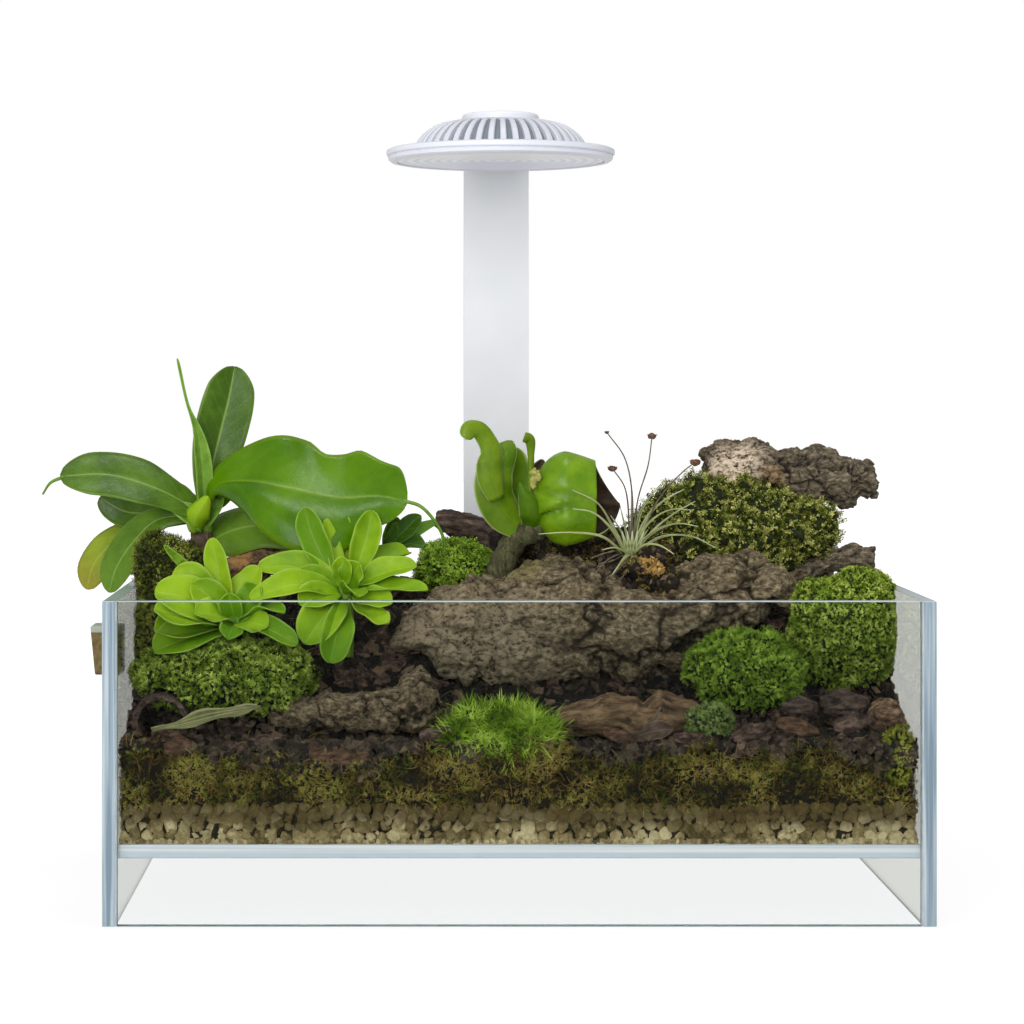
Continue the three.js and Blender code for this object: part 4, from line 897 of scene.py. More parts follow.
# The moss body under the leaflets: partly the moss's own dark colour, partly painted shade between the
# shoots.
MOSS_BED = damp_grains("moss litter under the leaflets", "#151a0a", "#303a14", "#525e22", 2.0)
LICHEN_CRUST = damp_grains("ochre lichen crust", "#5c3d1c", "#a07a38", "#d2b070", 1.8)
DARK_EARTH = damp_grains("damp dark earth", "#0f0d0a", "#27211b", "#483e34", 2.0, 14)
EARTH_CRUMB = damp_grains("crumbs of damp earth", "#120f0c", "#342c24", "#605342", 1.5, 16)
LITTER = damp_grains("scraps of dead leaf and bark", "#1e1610", "#4c3b2d", "#806b54", 1.2)
PEAT_SPRIG = moss_leaflet("peat moss sprigs", "#1e1807", "#5b4f1c", "#a69648", 12, 0.6)
GREEN_PEAT = moss_leaflet("living tips in the peat", "#24280a", "#56601b", "#9ca444", 12, 0.6)
PEAT_FIBRE = moss_leaflet("brown peat fibres", "#33270f", "#80682f", "#bba56c", 12)
PEAT_BED = damp_grains("packed peat", "#120e05", "#2c230c", "#4a3c1a", 1.6, 10)
PEBBLE = damp_grains("olive and tan pebbles", "#564a28", "#a08e60", "#dacc9e", 1.6, 30, stain="#564722")
# A dark bed under the pebbles: painted shade for the gaps between them.
GRAVEL_GAP_SHADE = damp_grains("wet gravel dust", "#1b160a", "#3a3018", "#5e5030", 2.0)


# ---- the tank ----
def bevelled_box(lowest, highest, **bevel):
    """A box between two corners with its edges taken off, still to be worked on."""
    work = bmesh.new()
    bmesh.ops.create_cube(work, size=1)
    bmesh.ops.scale(work, vec=highest - lowest, verts=work.verts)
    bmesh.ops.translate(work, vec=(lowest + highest) / 2, verts=work.verts)
    bmesh.ops.bevel(work, geom=list(work.edges), affect="EDGES", **bevel)
    return work


def worked(work, name, *materials):
    """The worked shape as a new mesh with its materials."""
    mesh = bpy.data.meshes.new(name)
    work.to_mesh(mesh)
    work.free()
    for part in materials:
        mesh.materials.append(part)
    return mesh


def pane(name, node_name, face_glass, edge, seam=(0, 0, 0)):
    """A pane of float glass with ground edges, each edge taken off with a fine arris.

    seam gives the glue's thickness in millimetres on the sides where it meets other panes.
    """
    lowest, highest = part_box(node_name)
    lowest, highest = lowest + Vector(seam) * MM, highest - Vector(seam) * MM
    work = bevelled_box(lowest, highest, offset=0.25 * MM, segments=1)
    bmesh.ops.recalc_face_normals(work, faces=work.faces)
    spans = highest - lowest
    thin = min(range(3), key=lambda axis: spans[axis])
    on_face, on_edge, on_arris, on_level_edge = range(4)
    for face in work.faces:
        straight = max(abs(c) for c in face.normal) > 0.99
        flat, level = abs(face.normal[thin]) > 0.99, abs(face.normal.z) > 0.99
        face.material_index = (on_arris if not straight else on_face if flat
                               else on_level_edge if level else on_edge)
    mesh = worked(work, name, face_glass, edge, GLASS_ARRIS, DARKENED_RIM_EDGE)
    return finished(bpy.data.objects.new(name, mesh), node_name, "tank_glass")


for side in ("front", "back"):
    pane(f"{side}_pane", f"glass_{side}", CLEAR_GLASS, LEVEL_EDGE, (0.08, 0, 0))
for side in ("left", "right"):
    pane(f"{side}_pane", f"glass_{side}", FILMED_GLASS, UPRIGHT_EDGE)
pane("floor_pane", "glass_floor", CLEAR_GLASS, LEVEL_EDGE, (0.1, 0.1, 0))


def oiled_beech(name, lip_low, lip_high):
    """Oiled beech, olive-brown with an upright grain, under a pale lip from one height to the next."""
    made, tree, shader = new_material(name)
    grain = spots(tree, 1.6, 6, 0.6, (1, 0.08, 1))
    wood = node(tree, RAMP, (grain,), evenly(0.3, 0.7, "#4a3c18", "#6b592b", "#84713c"))
    join_sockets(tree, shader, {
        "Base Color": laid_over(tree, wood, "#a3ab9c", height_on_piece(tree), lip_low, lip_high, 0.0, 1.0),
        "Roughness": 0.65,
        "Normal": node(tree, BUMP, {"Height": grain, "Distance": 0.15 * MM, "Strength": 0.6}),
    })
    return made


def wood_block():
    """The little wooden block on the left pane: its pale lip on top, its lower outer side cut back."""
    lowest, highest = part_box("side_block")
    middle, cut_back = (lowest + highest) / 2, 1.6 * MM
    work = bevelled_box(lowest, highest, offset=0.9 * MM, segments=3, profile=0.6)
    for vert in work.verts:
        if vert.co.z < middle.z and vert.co.x < middle.x:
            vert.co.x += cut_back
    mesh = worked(work, "wood_block", oiled_beech("oiled beech block", 103.4 * MM, 104 * MM))
    return finished(bpy.data.objects.new("wood_block", mesh), "side_block", "side_wood")


wood_block()


# ---- the lamp ----
SLOTS = 44
RING_RADIUS, RING_HEIGHT, LENS_RADIUS, UNDERSIDE = 45.9, 5.3, 41.6, 284
DOME_BASE = UNDERSIDE + RING_HEIGHT - 1
DOME_PROFILE = [(35, 0.8), (34.6, 2.6), (32.6, 5.6), (29.8, 8.3), (26, 10.6), (22.4, 11.6), (18.5, 12.0)]


def turned(name, replaced, slot, finish, base, outline, segments=96, rounding=0.1):
    """A part turned about the lamp's axis from its outline of (radius, height above the base)."""
    work = bmesh.new()
    ring = [work.verts.new(Vector((radius, 0, base + z)) * MM) for radius, z in outline]
    edges = [work.edges.new((a, b)) for a, b in zip(ring, ring[1:])]
    bmesh.ops.spin(work, geom=ring + edges, cent=(0, 0, 0), axis=(0, 0, 1), angle=math.tau,
                   steps=segments, use_merge=True, use_duplicate=False)
    bmesh.ops.remove_doubles(work, verts=work.verts, dist=1e-6)
    bmesh.ops.dissolve_degenerate(work, edges=work.edges, dist=1e-7)
    bmesh.ops.recalc_face_normals(work, faces=work.faces)
    bmesh.ops.translate(work, vec=place(*LAMP_AXIS, 0), verts=work.verts)
    for face in work.faces:
        face.smooth = True
    body = plain_copy(name, worked(work, name, finish), {"BEVEL": {
        "width": rounding * MM, "segments": 2, "limit_method": "ANGLE", "angle_limit": math.radians(30),
        "harden_normals": True}})
    return finished(body, replaced, slot)


def ring_bands():
    """The ring's two bands, parted by a groove, round the seat of the lens and the foot of the dome."""
    edge, seat, foot, top = RING_RADIUS, LENS_RADIUS + 0.3, 35.6, RING_HEIGHT
    turned("lamp_ring_bands", "lamp_ring", "lamp_white", LAMP_WHITE, UNDERSIDE, [
        (seat, 0.1), (seat + 0.4, 0), (edge - 2.0, 0.25), (edge - 0.9, 1.0), (edge - 0.6, 2.2),
        (edge - 1.1, 2.35), (edge - 1.1, 2.7), (edge - 0.3, 2.8), (edge, 3.2), (edge - 0.05, top - 0.6),
        (edge - 1.1, top - 0.05), (foot, top), (foot, top - 1), (seat, top - 1), (seat, 0.1),
    ], 128, 0.25)


def lens_disc():
    """The lens, flat above and with eight steps of rings below."""
    steps = [(40 - 4.5 * n - back, z) for n in range(8) for back, z in ((0, 0.5), (1.6, 0.85))]
    turned("lamp_lens_disc", "lamp_lens", "lamp_lens", LENS, UNDERSIDE, [
        (0, 2.4), (LENS_RADIUS, 2.4), (LENS_RADIUS, 0.7), *steps, (0, 0.85)], rounding=0.15)


ring_bands()
turned("lamp_cap_disc", "lamp_cap", "lamp_white", LAMP_WHITE, DOME_BASE, [
    (0, 12.0), (15.4, 12.0), (15.4, 14.2), (14.8, 14.9), (14.2, 15.1), (0, 15.1)], rounding=0.25)
lens_disc()
# The inside of the dome, seen through its slots and painted grey as shade, with the plain bands above and
# below the ribs.
for name, finish, segments, rounding, outline in (
        ("lamp_dome_core", SLOT_PAINTED_SHADE, 76, 0.05, [
            (33.2, 0), (32.6, 2.2), (30.6, 4.9), (27.9, 7.6), (24.4, 10.0), (20.8, 10.9), (0, 11.2), (0, 9),
            (16, 8.8), (31, 0)]),
        ("lamp_dome_bands", DIMMED_DOME_WHITE, 96, 0.1, [(35.2, 0), (35.1, 1.9), (33.4, 2.2), (33.3, 0)]),
        ("lamp_dome_top", DIMMED_DOME_WHITE, 96, 0.1, [
            (0, 12.3), (16.5, 12.3), (20.2, 12.0), (21.6, 11.5), (21.2, 10.8), (0, 10.9)])):
    turned(name, "lamp_heat_sink", "lamp_white", finish, DOME_BASE, outline, segments, rounding)


def rib():
    """One rib of the dome, from its foot on the band to the top disc, its sides eased."""
    points, faces = [], []
    around = [2, 0, 1, 4, 3, 5]
    spine = curve_through([(r, 0, z) for r, z in DOME_PROFILE], np.linspace(0.05, 0.98, 9))
    for radius, _, z in spine:
        half = radius * math.tan(math.pi / SLOTS) * (0.5 + 0.1 * (35 - radius) / 15)
        inner = Vector((radius - 2.0, 0, z - 1.3))
        for side in (-1, 1):
            points.append(Vector((radius - 0.35, side * half, z - 0.2)))
            points.append(Vector((radius, side * half * 0.72, z)))
            points.append(inner + Vector((0, side * half * 0.9, 0)))
    for i in range(len(spine) - 1):
        for p, q in zip(around, around[1:] + around[:1]):
            faces.append((6 * i + p, 6 * i + q, 6 * (i + 1) + q, 6 * (i + 1) + p))
    faces += [tuple(around[::-1]), tuple(6 * (len(spine) - 1) + k for k in around)]
    mesh = bpy.data.meshes.new("rib")
    mesh.from_pydata([p * MM for p in points], [], faces)
    tidy(mesh)
    return bpy.data.objects.new("rib", mesh)


def round_tree():
    """A tree that sets one shape round an axis: its count, its centre and its finish are inputs."""
    tree, given = new_tree("ribs round an axis", {
        "Rib": "Object", "Number of ribs": "Int", "Centre": "Vector", "Finish": "Material"}, "Ribs")
    points = node(tree, "GeometryNodePoints", (given["Number of ribs"], given["Centre"]))
    share = node(tree, MATH, (node(tree, "GeometryNodeInputIndex"), given["Number of ribs"]),
                 operation="DIVIDE")
    turn = node(tree, MATH, (share, math.tau), operation="MULTIPLY")
    euler = node(tree, "ShaderNodeCombineXYZ", {"Z": turn})
    placed = node(tree, "GeometryNodeInstanceOnPoints", {
        "Points": points,
        "Instance": node(tree, "GeometryNodeObjectInfo", {"Object": given["Rib"]}).outputs["Geometry"],
        "Rotation": node(tree, "FunctionNodeEulerToRotation", (euler,)),
    })
    return end_tree(tree, placed, given["Finish"], "Ribs")


# The ribs take the dome's white, painted darker as shade against the top light.
grown("lamp_dome_ribs", bpy.data.meshes.new("ribs"), round_tree(), {
    "Rib": rib(), "Number of ribs": SLOTS, "Centre": place(*LAMP_AXIS, DOME_BASE), "Finish": DIMMED_DOME_WHITE,
}, "lamp_heat_sink", "lamp_white")


def flat_bar(name, node_name, slot, finish, rounding):
    """A folded or cut flat piece whose corners are slightly rounded."""
    body = plain_copy(name, merged_copy(node_name), {"BEVEL": {
        "width": rounding * MM, "segments": 3, "limit_method": "ANGLE", "harden_normals": True}})
    body.data.materials.append(finish)
    return finished(body, node_name, slot)


flat_bar("post_bar", "lamp_post", "lamp_metal", POST_WHITE, 0.8)
flat_bar("arm_bar", "lamp_arm", "lamp_metal", POST_WHITE, 0.8)
flat_bar("clamp_hook", "lamp_clamp", "lamp_metal", POST_WHITE, 0.8)
flat_bar("inlet_block", "power_inlet", "dark_plastic", BLACK_ABS, 0.8)
flat_bar("led_disc", "lamp_led_board", "led_board", SOLDER_MASK, 0.2)


# ---- pitcher plant at the left ----
def pitcher_plant():
    """Strap leaves round a stem, one broad glossy leaf that ends in a tendril, and a narrow rolled one."""
    plant = Growth()
    broad, yellow, green, fresh, sheath = 1, 2, 3, 4, 5

    def broad_relief(t, s):
        """The upper half leans back, with a fold from its notch; the lower half rolls down."""
        fold = -3.2 * np.exp(-((t - 0.6 - 0.1 * s) / 0.07) ** 2) * np.clip(-s, 0, 1) ** 1.2
        swell = 2.6 * np.sin(np.pi * t) * np.sin(np.pi * np.clip(s, 0, 1))
        crown = 1.8 * np.exp(-((t - 0.42) / 0.14) ** 2) * np.clip(-s, 0, 1)
        curl = -3.5 * np.clip(s, 0, 1) ** 3 * np.sin(np.pi * t)
        lobe = 2.0 * np.exp(-((t - 0.8) / 0.08) ** 2) * np.clip(-s, 0, 1)
        return fold + swell + crown + curl + lobe

    plant.leaf([(-120, -8, 146), (-115, -18, 155), (-101, -26, 157), (-85.5, -30, 154.5), (-66, -32, 151),
                (-51, -32, 151.5), (-40.5, -32, 149.5)],
               [2, 5, 11, 16.5, 20, 22.5, 24, 19, 20.5, 20.8, 15, 13.8, 9], (0, -0.8, 0.6), cup=0.04,
               wave=0.5, rows=48, across=20, thick=0.7,
               lower=[1.5, 2.5, 3.5, 7, 12.5, 18.5, 23.5, 26, 24, 17, 13.5, 11, 8], finish=broad,
               bend=broad_relief)
    plant.leaf([(-122, -8, 144), (-138, -10, 153), (-158, -10, 159), (-177, -12, 158.5)],
               [4.5, 7.5, 11, 11, 8], (0.1, -0.75, 0.65), cup=-0.12, wave=0.35, rows=26, across=12,
               fold=0.2, tone=0.35, round_end=0.22)
    plant.leaf([(-122, -3, 143), (-139.5, 5, 143.3), (-154, 12, 143.4), (-165, 16, 149)],
               [2, 7, 8, 7, 5], (0.1, -0.8, 0.55), cup=0.1, wave=0.3, rows=20, across=10, tone=0.1,
               round_end=0.2)
    plant.leaf([(-122, -6, 143), (-139.5, -4, 141), (-148.5, -2, 133), (-156, -1, 122), (-159, -1, 112)],
               [1.5, 4.5, 7.5, 8, 7, 4.5], (-0.35, -0.85, 0.35), cup=-0.1, wave=0.3, rows=26, across=10,
               fold=0.2, tone=0.6, round_end=0.2)
    plant.leaf([(-123, 1, 141), (-147, 6, 138), (-159, 8, 131), (-166.5, 8, 122), (-169, 8, 112.5)],
               [1, 3, 6, 7.6, 7.2, 5], (-0.3, -0.9, 0.3), cup=-0.1, wave=0.3, rows=24, across=8,
               tone=0.6, finish=yellow, round_end=0.22)
    plant.leaf([(-120.5, -7, 144), (-118, -5, 161), (-114.5, -2, 177), (-111.5, 1, 190), (-109.5, 3, 202)],
               [2.5, 7, 10, 10.5, 9.5, 6.5], (0.15, -0.95, 0.2), cup=0.1, fold=0.28, wave=0.3, rows=30,
               across=12, tone=0.2, round_end=0.2)
    plant.leaf([(-120.5, -10, 146), (-121.5, -12, 165), (-123.5, -12, 177), (-127, -12, 187),
                (-131, -12, 205)],
               [3, 3.4, 3.2, 2.3, 1.2, 0.6, 0.5, 0.7], (0.3, -0.95, 0), cup=0.5, fold=0.5, rows=34, across=8,
               tone=0.7, finish=green)
    plant.leaf([(-125, -10, 136), (-123.5, -15, 143), (-118.5, -16, 151)], [2.5, 5, 4.2, 1.5],
               (0, -0.9, 0.3), cup=-0.5, fold=-0.2, rows=14, across=8, tone=0.9, finish=fresh)
    plant.leaf([(-122, -5, 138), (-128, -4, 145), (-133, -3, 151), (-137, -1, 155)], [3, 5.5, 5, 1.5],
               (0.2, -0.9, 0.4), rows=14, tone=0.5, fold=0.3, finish=green)
    plant.leaf([(-121, -9, 138), (-127, -10, 143), (-134, -9, 147)], [3, 4.5, 2], (0.1, -0.8, 0.6),
               rows=12, tone=0.7, fold=0.3, finish=green)
    plant.leaf([(-120, -9, 140), (-116, -10, 147), (-113, -11, 153)], [3, 4, 1.5], (-0.2, -0.9, 0.4),
               rows=12, tone=0.6, fold=0.3, finish=green)
    plant.leaf([(-121, -4, 144), (-116, 0, 149), (-110, 2, 153.5)], [2, 4.5, 3], (0, -0.9, 0.4), rows=10,
               finish=broad)
    # This leaf lies in the broad leaf's shadow: its tone of 1.0 is painted light that lifts it to the
    # lightest tone.
    plant.leaf([(-123, -4, 129), (-112, -4, 136), (-98, -8, 139), (-83, -12, 136), (-68, -16, 131)],
               [4, 10, 11, 9.5, 7, 3], (0.1, -0.8, 0.6), cup=-0.12, wave=0.25, rows=20, across=10, tone=1.0)
    plant.bar([(-120, -3, 100), (-121, -4, 131), (-121, -6, 139), (-120, -7, 148)], [3.4, 3.2, 3.4, 2.4],
              sides=10, rows=14, finish=green, rough=0.4)
    plant.bar([(-121, -3, 110), (-121.5, -4, 122), (-122, -6, 132), (-121.5, -6, 137)],
              [4.4, 5, 4.6, 3.4], sides=16, rows=22, finish=sheath, rough=1.6, grain=2.2)
    plant.bar([(-175.5, -12, 158.5), (-181, -12, 156), (-184, -12, 151.5)], [0.8, 0.6, 0.4], sides=6,
              finish=green)
    plant.bar([(-42, -32, 150), (-35.5, -33, 148), (-30.5, -32, 143), (-27, -30, 137), (-25.5, -27, 131)],
              [0.75, 0.7, 0.65, 0.6], sides=8, rows=22, finish=green)
    plant.bar([(-116, -10, 150), (-110, -15, 152), (-100, -16, 151), (-92, -12, 146)], [0.7, 0.6, 0.6],
              sides=6, finish=green)
    return plant.piece("pitcher_leaves", "pitcher_plant", "pitcher_leaf",
                       [PITCHER_LEAF, BROAD_LEAF, YELLOW_LEAF, PLANT_STEM, ROSETTE_LEAF, DEAD_LEAF])


pitcher_plant()


# ---- the two rosettes ----
# Each leaf's midrib, its half widths after the narrow foot, and the way its face looks.
RIGHT_ROSETTE = [
    ([(-66.7, -50, 118), (-72, -47, 128), (-77, -46, 139), (-79.5, -46, 148)], [3.5, 5.3, 5.2, 1.5],
     (0, -1, 0.3)),
    ([(-62, -50, 118), (-58.5, -47, 128.5), (-55.5, -46, 138.5), (-54, -46, 147)], [3.5, 5.3, 5.2, 1.5],
     (-0.15, -1, 0.25)),
    ([(-61, -50, 118), (-52.6, -51, 122), (-44, -52, 124.7), (-36.7, -53, 126)], [4.5, 5.5, 4.5, 1],
     (0, -0.6, 0.8)),
    ([(-61, -52, 117), (-51.4, -56, 118), (-41.2, -58, 118), (-32.6, -60, 117.7)], [4.5, 5.5, 4.5, 1],
     (0, -0.5, 0.87)),
    ([(-63, -49, 118), (-53, -42, 124.5), (-45, -38, 129), (-39.4, -35, 130)], [5, 6, 5, 1], (0, -0.6, 0.8)),
    ([(-64, -53, 116), (-61, -62, 118), (-58.7, -68, 116)], [4.5, 5, 3], (0, -0.3, 0.95)),
    ([(-65.8, -52, 114), (-70, -62, 110), (-74.7, -68, 104), (-78.4, -71, 99)], [6.5, 8, 7, 2],
     (-0.2, -0.9, 0.35)),
    ([(-64.9, -53, 113), (-66, -66, 106), (-67.5, -71, 98.5), (-69, -72, 92)], [4.5, 6, 5.5, 1.5],
     (0, -0.97, 0.2)),
    ([(-62, -52, 114), (-56.3, -60, 110), (-51.4, -64, 107.5), (-47.2, -66, 106)], [4, 5, 4.5, 1.5],
     (0.2, -0.9, 0.3)),
    ([(-67, -50, 118), (-75.5, -49, 123), (-85, -49, 125.7), (-97, -48, 125)], [5, 6, 5.5, 1.5],
     (0, -0.6, 0.8)),
    ([(-67, -52, 116), (-77, -58, 119.5), (-88, -62, 118.7), (-99, -64, 114.4)], [5, 6, 5, 1.2],
     (0, -0.55, 0.83)),
    ([(-64, -49, 117), (-63.5, -42, 127), (-63, -40, 135.5), (-63, -40, 144)], [2.5, 2.5, 2, 0.8],
     (0, -0.95, 0.2)),
    ([(-65, -50, 118), (-68, -45, 130), (-71.5, -43, 143.5)], [3.5, 3, 0.8], (0.5, -0.8, 0.2)),
    ([(-63, -51, 117), (-60.5, -54, 123), (-58, -56, 127.5)], [5, 5.5, 2], (0, -0.85, 0.5)),
    ([(-64.2, -49, 117), (-68.5, -35, 121), (-73, -24, 122.6)], [5.5, 6, 2], (0, -0.2, 0.95)),
    ([(-61.6, -49, 117), (-55, -36, 122), (-49, -28, 125)], [5, 5.5, 2], (0, -0.2, 0.95)),
    ([(-66, -53, 116), (-74, -60, 115), (-80.5, -65, 113)], [5.5, 6, 4], (-0.1, -0.7, 0.7)),
    ([(-61, -53, 115), (-53.5, -58, 114), (-46, -61, 113)], [4.5, 5, 3.5], (0.1, -0.7, 0.7)),
    ([(-65, -50, 118), (-64.5, -52, 124), (-65, -54, 130)], [3.5, 4, 2.5], (0, -0.95, 0.3)),
    ([(-67, -51, 117), (-75, -54, 121), (-82, -56, 122.5)], [5, 5.5, 4], (-0.1, -0.65, 0.75)),
]
LEFT_ROSETTE = [
    ([(-106, -57, 105), (-109.7, -55, 117), (-112, -54, 126.5), (-114, -54, 137)], [3.5, 4.5, 4.5, 1.2],
     (0.1, -0.97, 0.1)),
    ([(-104.6, -57, 105), (-102.6, -54, 114.4), (-99, -53, 121), (-96, -53, 126)], [5, 6.5, 5, 1.5],
     (-0.2, -0.9, 0.4)),
    ([(-106, -57, 106), (-114, -52, 116), (-123, -48, 124.3), (-133, -46, 133.7)], [2.5, 2.5, 2, 0.8],
     (0, -0.8, 0.6)),
    ([(-106, -58, 106), (-116, -61, 111), (-125.4, -63, 115.4), (-134.6, -64, 117.3)], [7, 9.5, 9, 4],
     (0, -0.75, 0.65)),
    ([(-106, -60, 105), (-114.6, -68, 103), (-124, -73, 100), (-133.6, -75, 96.4)], [7.5, 9.5, 8.5, 3],
     (0, -0.75, 0.65)),
    ([(-106, -59, 105), (-116, -66, 106.5), (-125, -70, 108.7), (-134, -71, 112)], [6.5, 8.5, 8, 3],
     (0, -0.7, 0.7)),
    ([(-104, -59, 105), (-95, -68, 105), (-87, -73, 102), (-81, -75, 98.5)], [4, 4.5, 4, 1], (0, -0.7, 0.7)),
    ([(-104, -58, 106), (-97, -61, 110), (-91, -66, 111.5), (-86, -70, 110)], [4, 4.5, 3.5, 1],
     (0, -0.6, 0.8)),
    ([(-105, -56, 106), (-101, -42, 110), (-98.5, -32, 112)], [5, 5.5, 2], (0, -0.2, 0.97)),
    ([(-106, -56, 106), (-114, -42, 111), (-120.5, -32, 113)], [5, 5.5, 2], (0, -0.2, 0.97)),
    ([(-105, -60, 105), (-105.5, -70, 104), (-106.5, -77, 101)], [4.5, 4.5, 2], (0, -0.6, 0.8)),
    ([(-106, -58, 106), (-113, -60, 114), (-121, -61, 120)], [5, 6, 5], (-0.1, -0.75, 0.6)),
    ([(-104, -58, 106), (-99, -60, 114), (-95, -62, 119)], [5, 6, 5], (0.1, -0.75, 0.6)),
    ([(-106, -59, 106), (-112, -66, 109), (-119, -70, 110)], [5.5, 6.5, 5], (-0.1, -0.6, 0.8)),
    ([(-104, -59, 105), (-98, -67, 106), (-92, -71, 105)], [5, 5.5, 4], (0.1, -0.6, 0.8)),
    ([(-105, -58, 106), (-106, -61, 112), (-107, -63, 117)], [4, 4.5, 3.5], (0, -0.9, 0.4)),
    ([(-106, -59, 106), (-116, -64, 105), (-126, -68, 103.5), (-134, -70, 104)], [7, 9, 8], (0, -0.8, 0.6)),
    ([(-106, -57, 107), (-114, -57, 114), (-122, -57, 121), (-128, -57, 125)], [5, 7, 5], (0, -0.85, 0.5)),
]


def rosette(name, node_name, crown, low, high, leaves, seed):
    """Soft spoon-shaped leaves round one crown, each cupped and a little rolled at its edge."""
    plant, chance = Growth(), random.Random(seed)
    foot = 1.2
    for midrib, widths, face in leaves:
        spoon = [foot, *widths[:-1], max(widths[-2:]) * 0.8]
        turned_face = Vector(face) + Vector([chance.uniform(-0.3, 0.3) for _ in range(3)])
        plant.leaf(midrib, spoon, turned_face, cup=chance.uniform(0.2, 0.5), wave=chance.uniform(0.2, 0.7),
                   fold=chance.uniform(0, 0.2), rows=20, across=10, tone=chance.random(), thick=0.7,
                   round_end=0.3)
    plant.bar([(*crown, low), (*crown, (low + high) / 2), (*crown, high)], [3.4, 3.4, 2.6], sides=12,
              rows=8, finish=1)
    return plant.piece(name, node_name, "rosette_leaf", [ROSETTE_LEAF, PLANT_STEM])


rosette("right_rosette_leaves", "rosette_right", (-64, -50), 92, 119, RIGHT_ROSETTE, 3)
rosette("left_rosette_leaves", "rosette_left", (-105, -58), 86, 108, LEFT_ROSETTE, 8)


def creeper():
    """A small dark creeper that comes up between the rosettes and the cushion moss."""
    plant = Growth()
    for n, (midrib, widths, face) in enumerate([
        ([(-49, -16, 131), (-43, -16, 136), (-38, -16, 141), (-35, -16, 143.5)], [1.5, 3, 4, 3, 1],
         (0, -0.95, 0.3)),
        ([(-49, -14, 129), (-46.4, -14, 138), (-44, -14, 142.6)], [1.5, 3.5, 3, 1], (0.4, -0.9, 0.2)),
        ([(-46, -13, 129), (-37.4, -10, 136), (-28.3, -8, 140.6)], [2, 3.5, 1.5], (0, -0.6, 0.8)),
        ([(-49, -15, 128), (-40, -16, 132), (-33, -18, 131)], [3, 6, 5, 1], (0, -0.5, 0.85)),
        ([(-49, -15, 130), (-46, -16, 136), (-45, -16, 141)], [1, 2.4, 2, 0.6], (-0.2, -0.9, 0.2)),
    ]):
        plant.leaf(midrib, widths, face, cup=0.2, fold=0.2, rows=12, across=8, tone=(n % 3) / 2)
    plant.bar([(-48, -14, 108), (-48, -14, 120), (-48, -14, 131)], [1.6, 1.6, 1.2], finish=1)
    return plant.piece("creeper_leaves", "creeper", "dark_leaf", [CREEPER_LEAF, PLANT_STEM])


creeper()


# ---- pouch plant in the middle ----
def pouch(plant, skin, inside, lip_finish):
    """The pouch: rings round a line from its closed left end to its open right end, and its inner wall."""
    rows, sides = 44, 56
    left, mouth = 7.8, 31.6
    middle_y, middle_z, half_deep, half_high = -38, 151, 12, 18.3
    points, uvs, inner = [], [], []
    for i in range(rows + 1):
        t = i / rows
        for j in range(sides):
            turn = math.tau * j / sides
            y, z = -math.cos(turn), math.sin(turn)
            open_at = mouth + min(10.5, 8.2 * (1 - z)) * max(0.0, y) ** 0.6
            x = left + (open_at - left) * (1 - math.cos(t * math.pi / 2)) ** 0.9
            share = min(1.0, (x - 7.7) / 13.5)
            swell = math.sqrt(max(0.0, 1 - (1 - share) ** 2)) * (1 - 0.009 * max(0, x - 20) ** 1.25)
            height = middle_z + z * half_high * swell
            fade = 1 - 0.6 * min(1.0, max(0.0, x - 8) / 24)
            upper = height - 155.0 + 0.2 * (x - 8)
            lower = height - 143.5 - 4.5 * min(1.0, max(0.0, x - 10) / 9)
            crease = (1 - 0.42 * fade * math.exp(-(upper / 1.3) ** 2)
                      - 0.48 * fade * math.exp(-(lower / 1.1) ** 2))
            bulge = 1 + 0.10 * math.exp(-((lower + 5) / 4) ** 2) + 0.05 * math.exp(-((lower - 4) / 3) ** 2)
            points.append(Vector((x, middle_y + y * half_deep * swell * crease * bulge,
                                  middle_z + z * half_high * swell * (0.55 + 0.45 * crease))))
            uvs.append((j / sides, t))
            inner.append(points[-1] + Vector((0.8 * (1 - t), -y * 0.9 * swell, -z * 0.9 * swell)))
    faces = [f[::-1] for f in grid_faces(rows, sides, closed=True)]
    plant.add(points, faces, uvs, 0.55, skin)
    plant.add(inner, grid_faces(rows, sides, closed=True), uvs, 0.4, inside)
    lip = points[rows * sides:] + inner[rows * sides:]
    across_lip = [(j, (j + 1) % sides, sides + (j + 1) % sides, sides + j) for j in range(sides)]
    plant.add(lip, across_lip, [(0.0, 0.5)] * (2 * sides), 0.5, lip_finish)


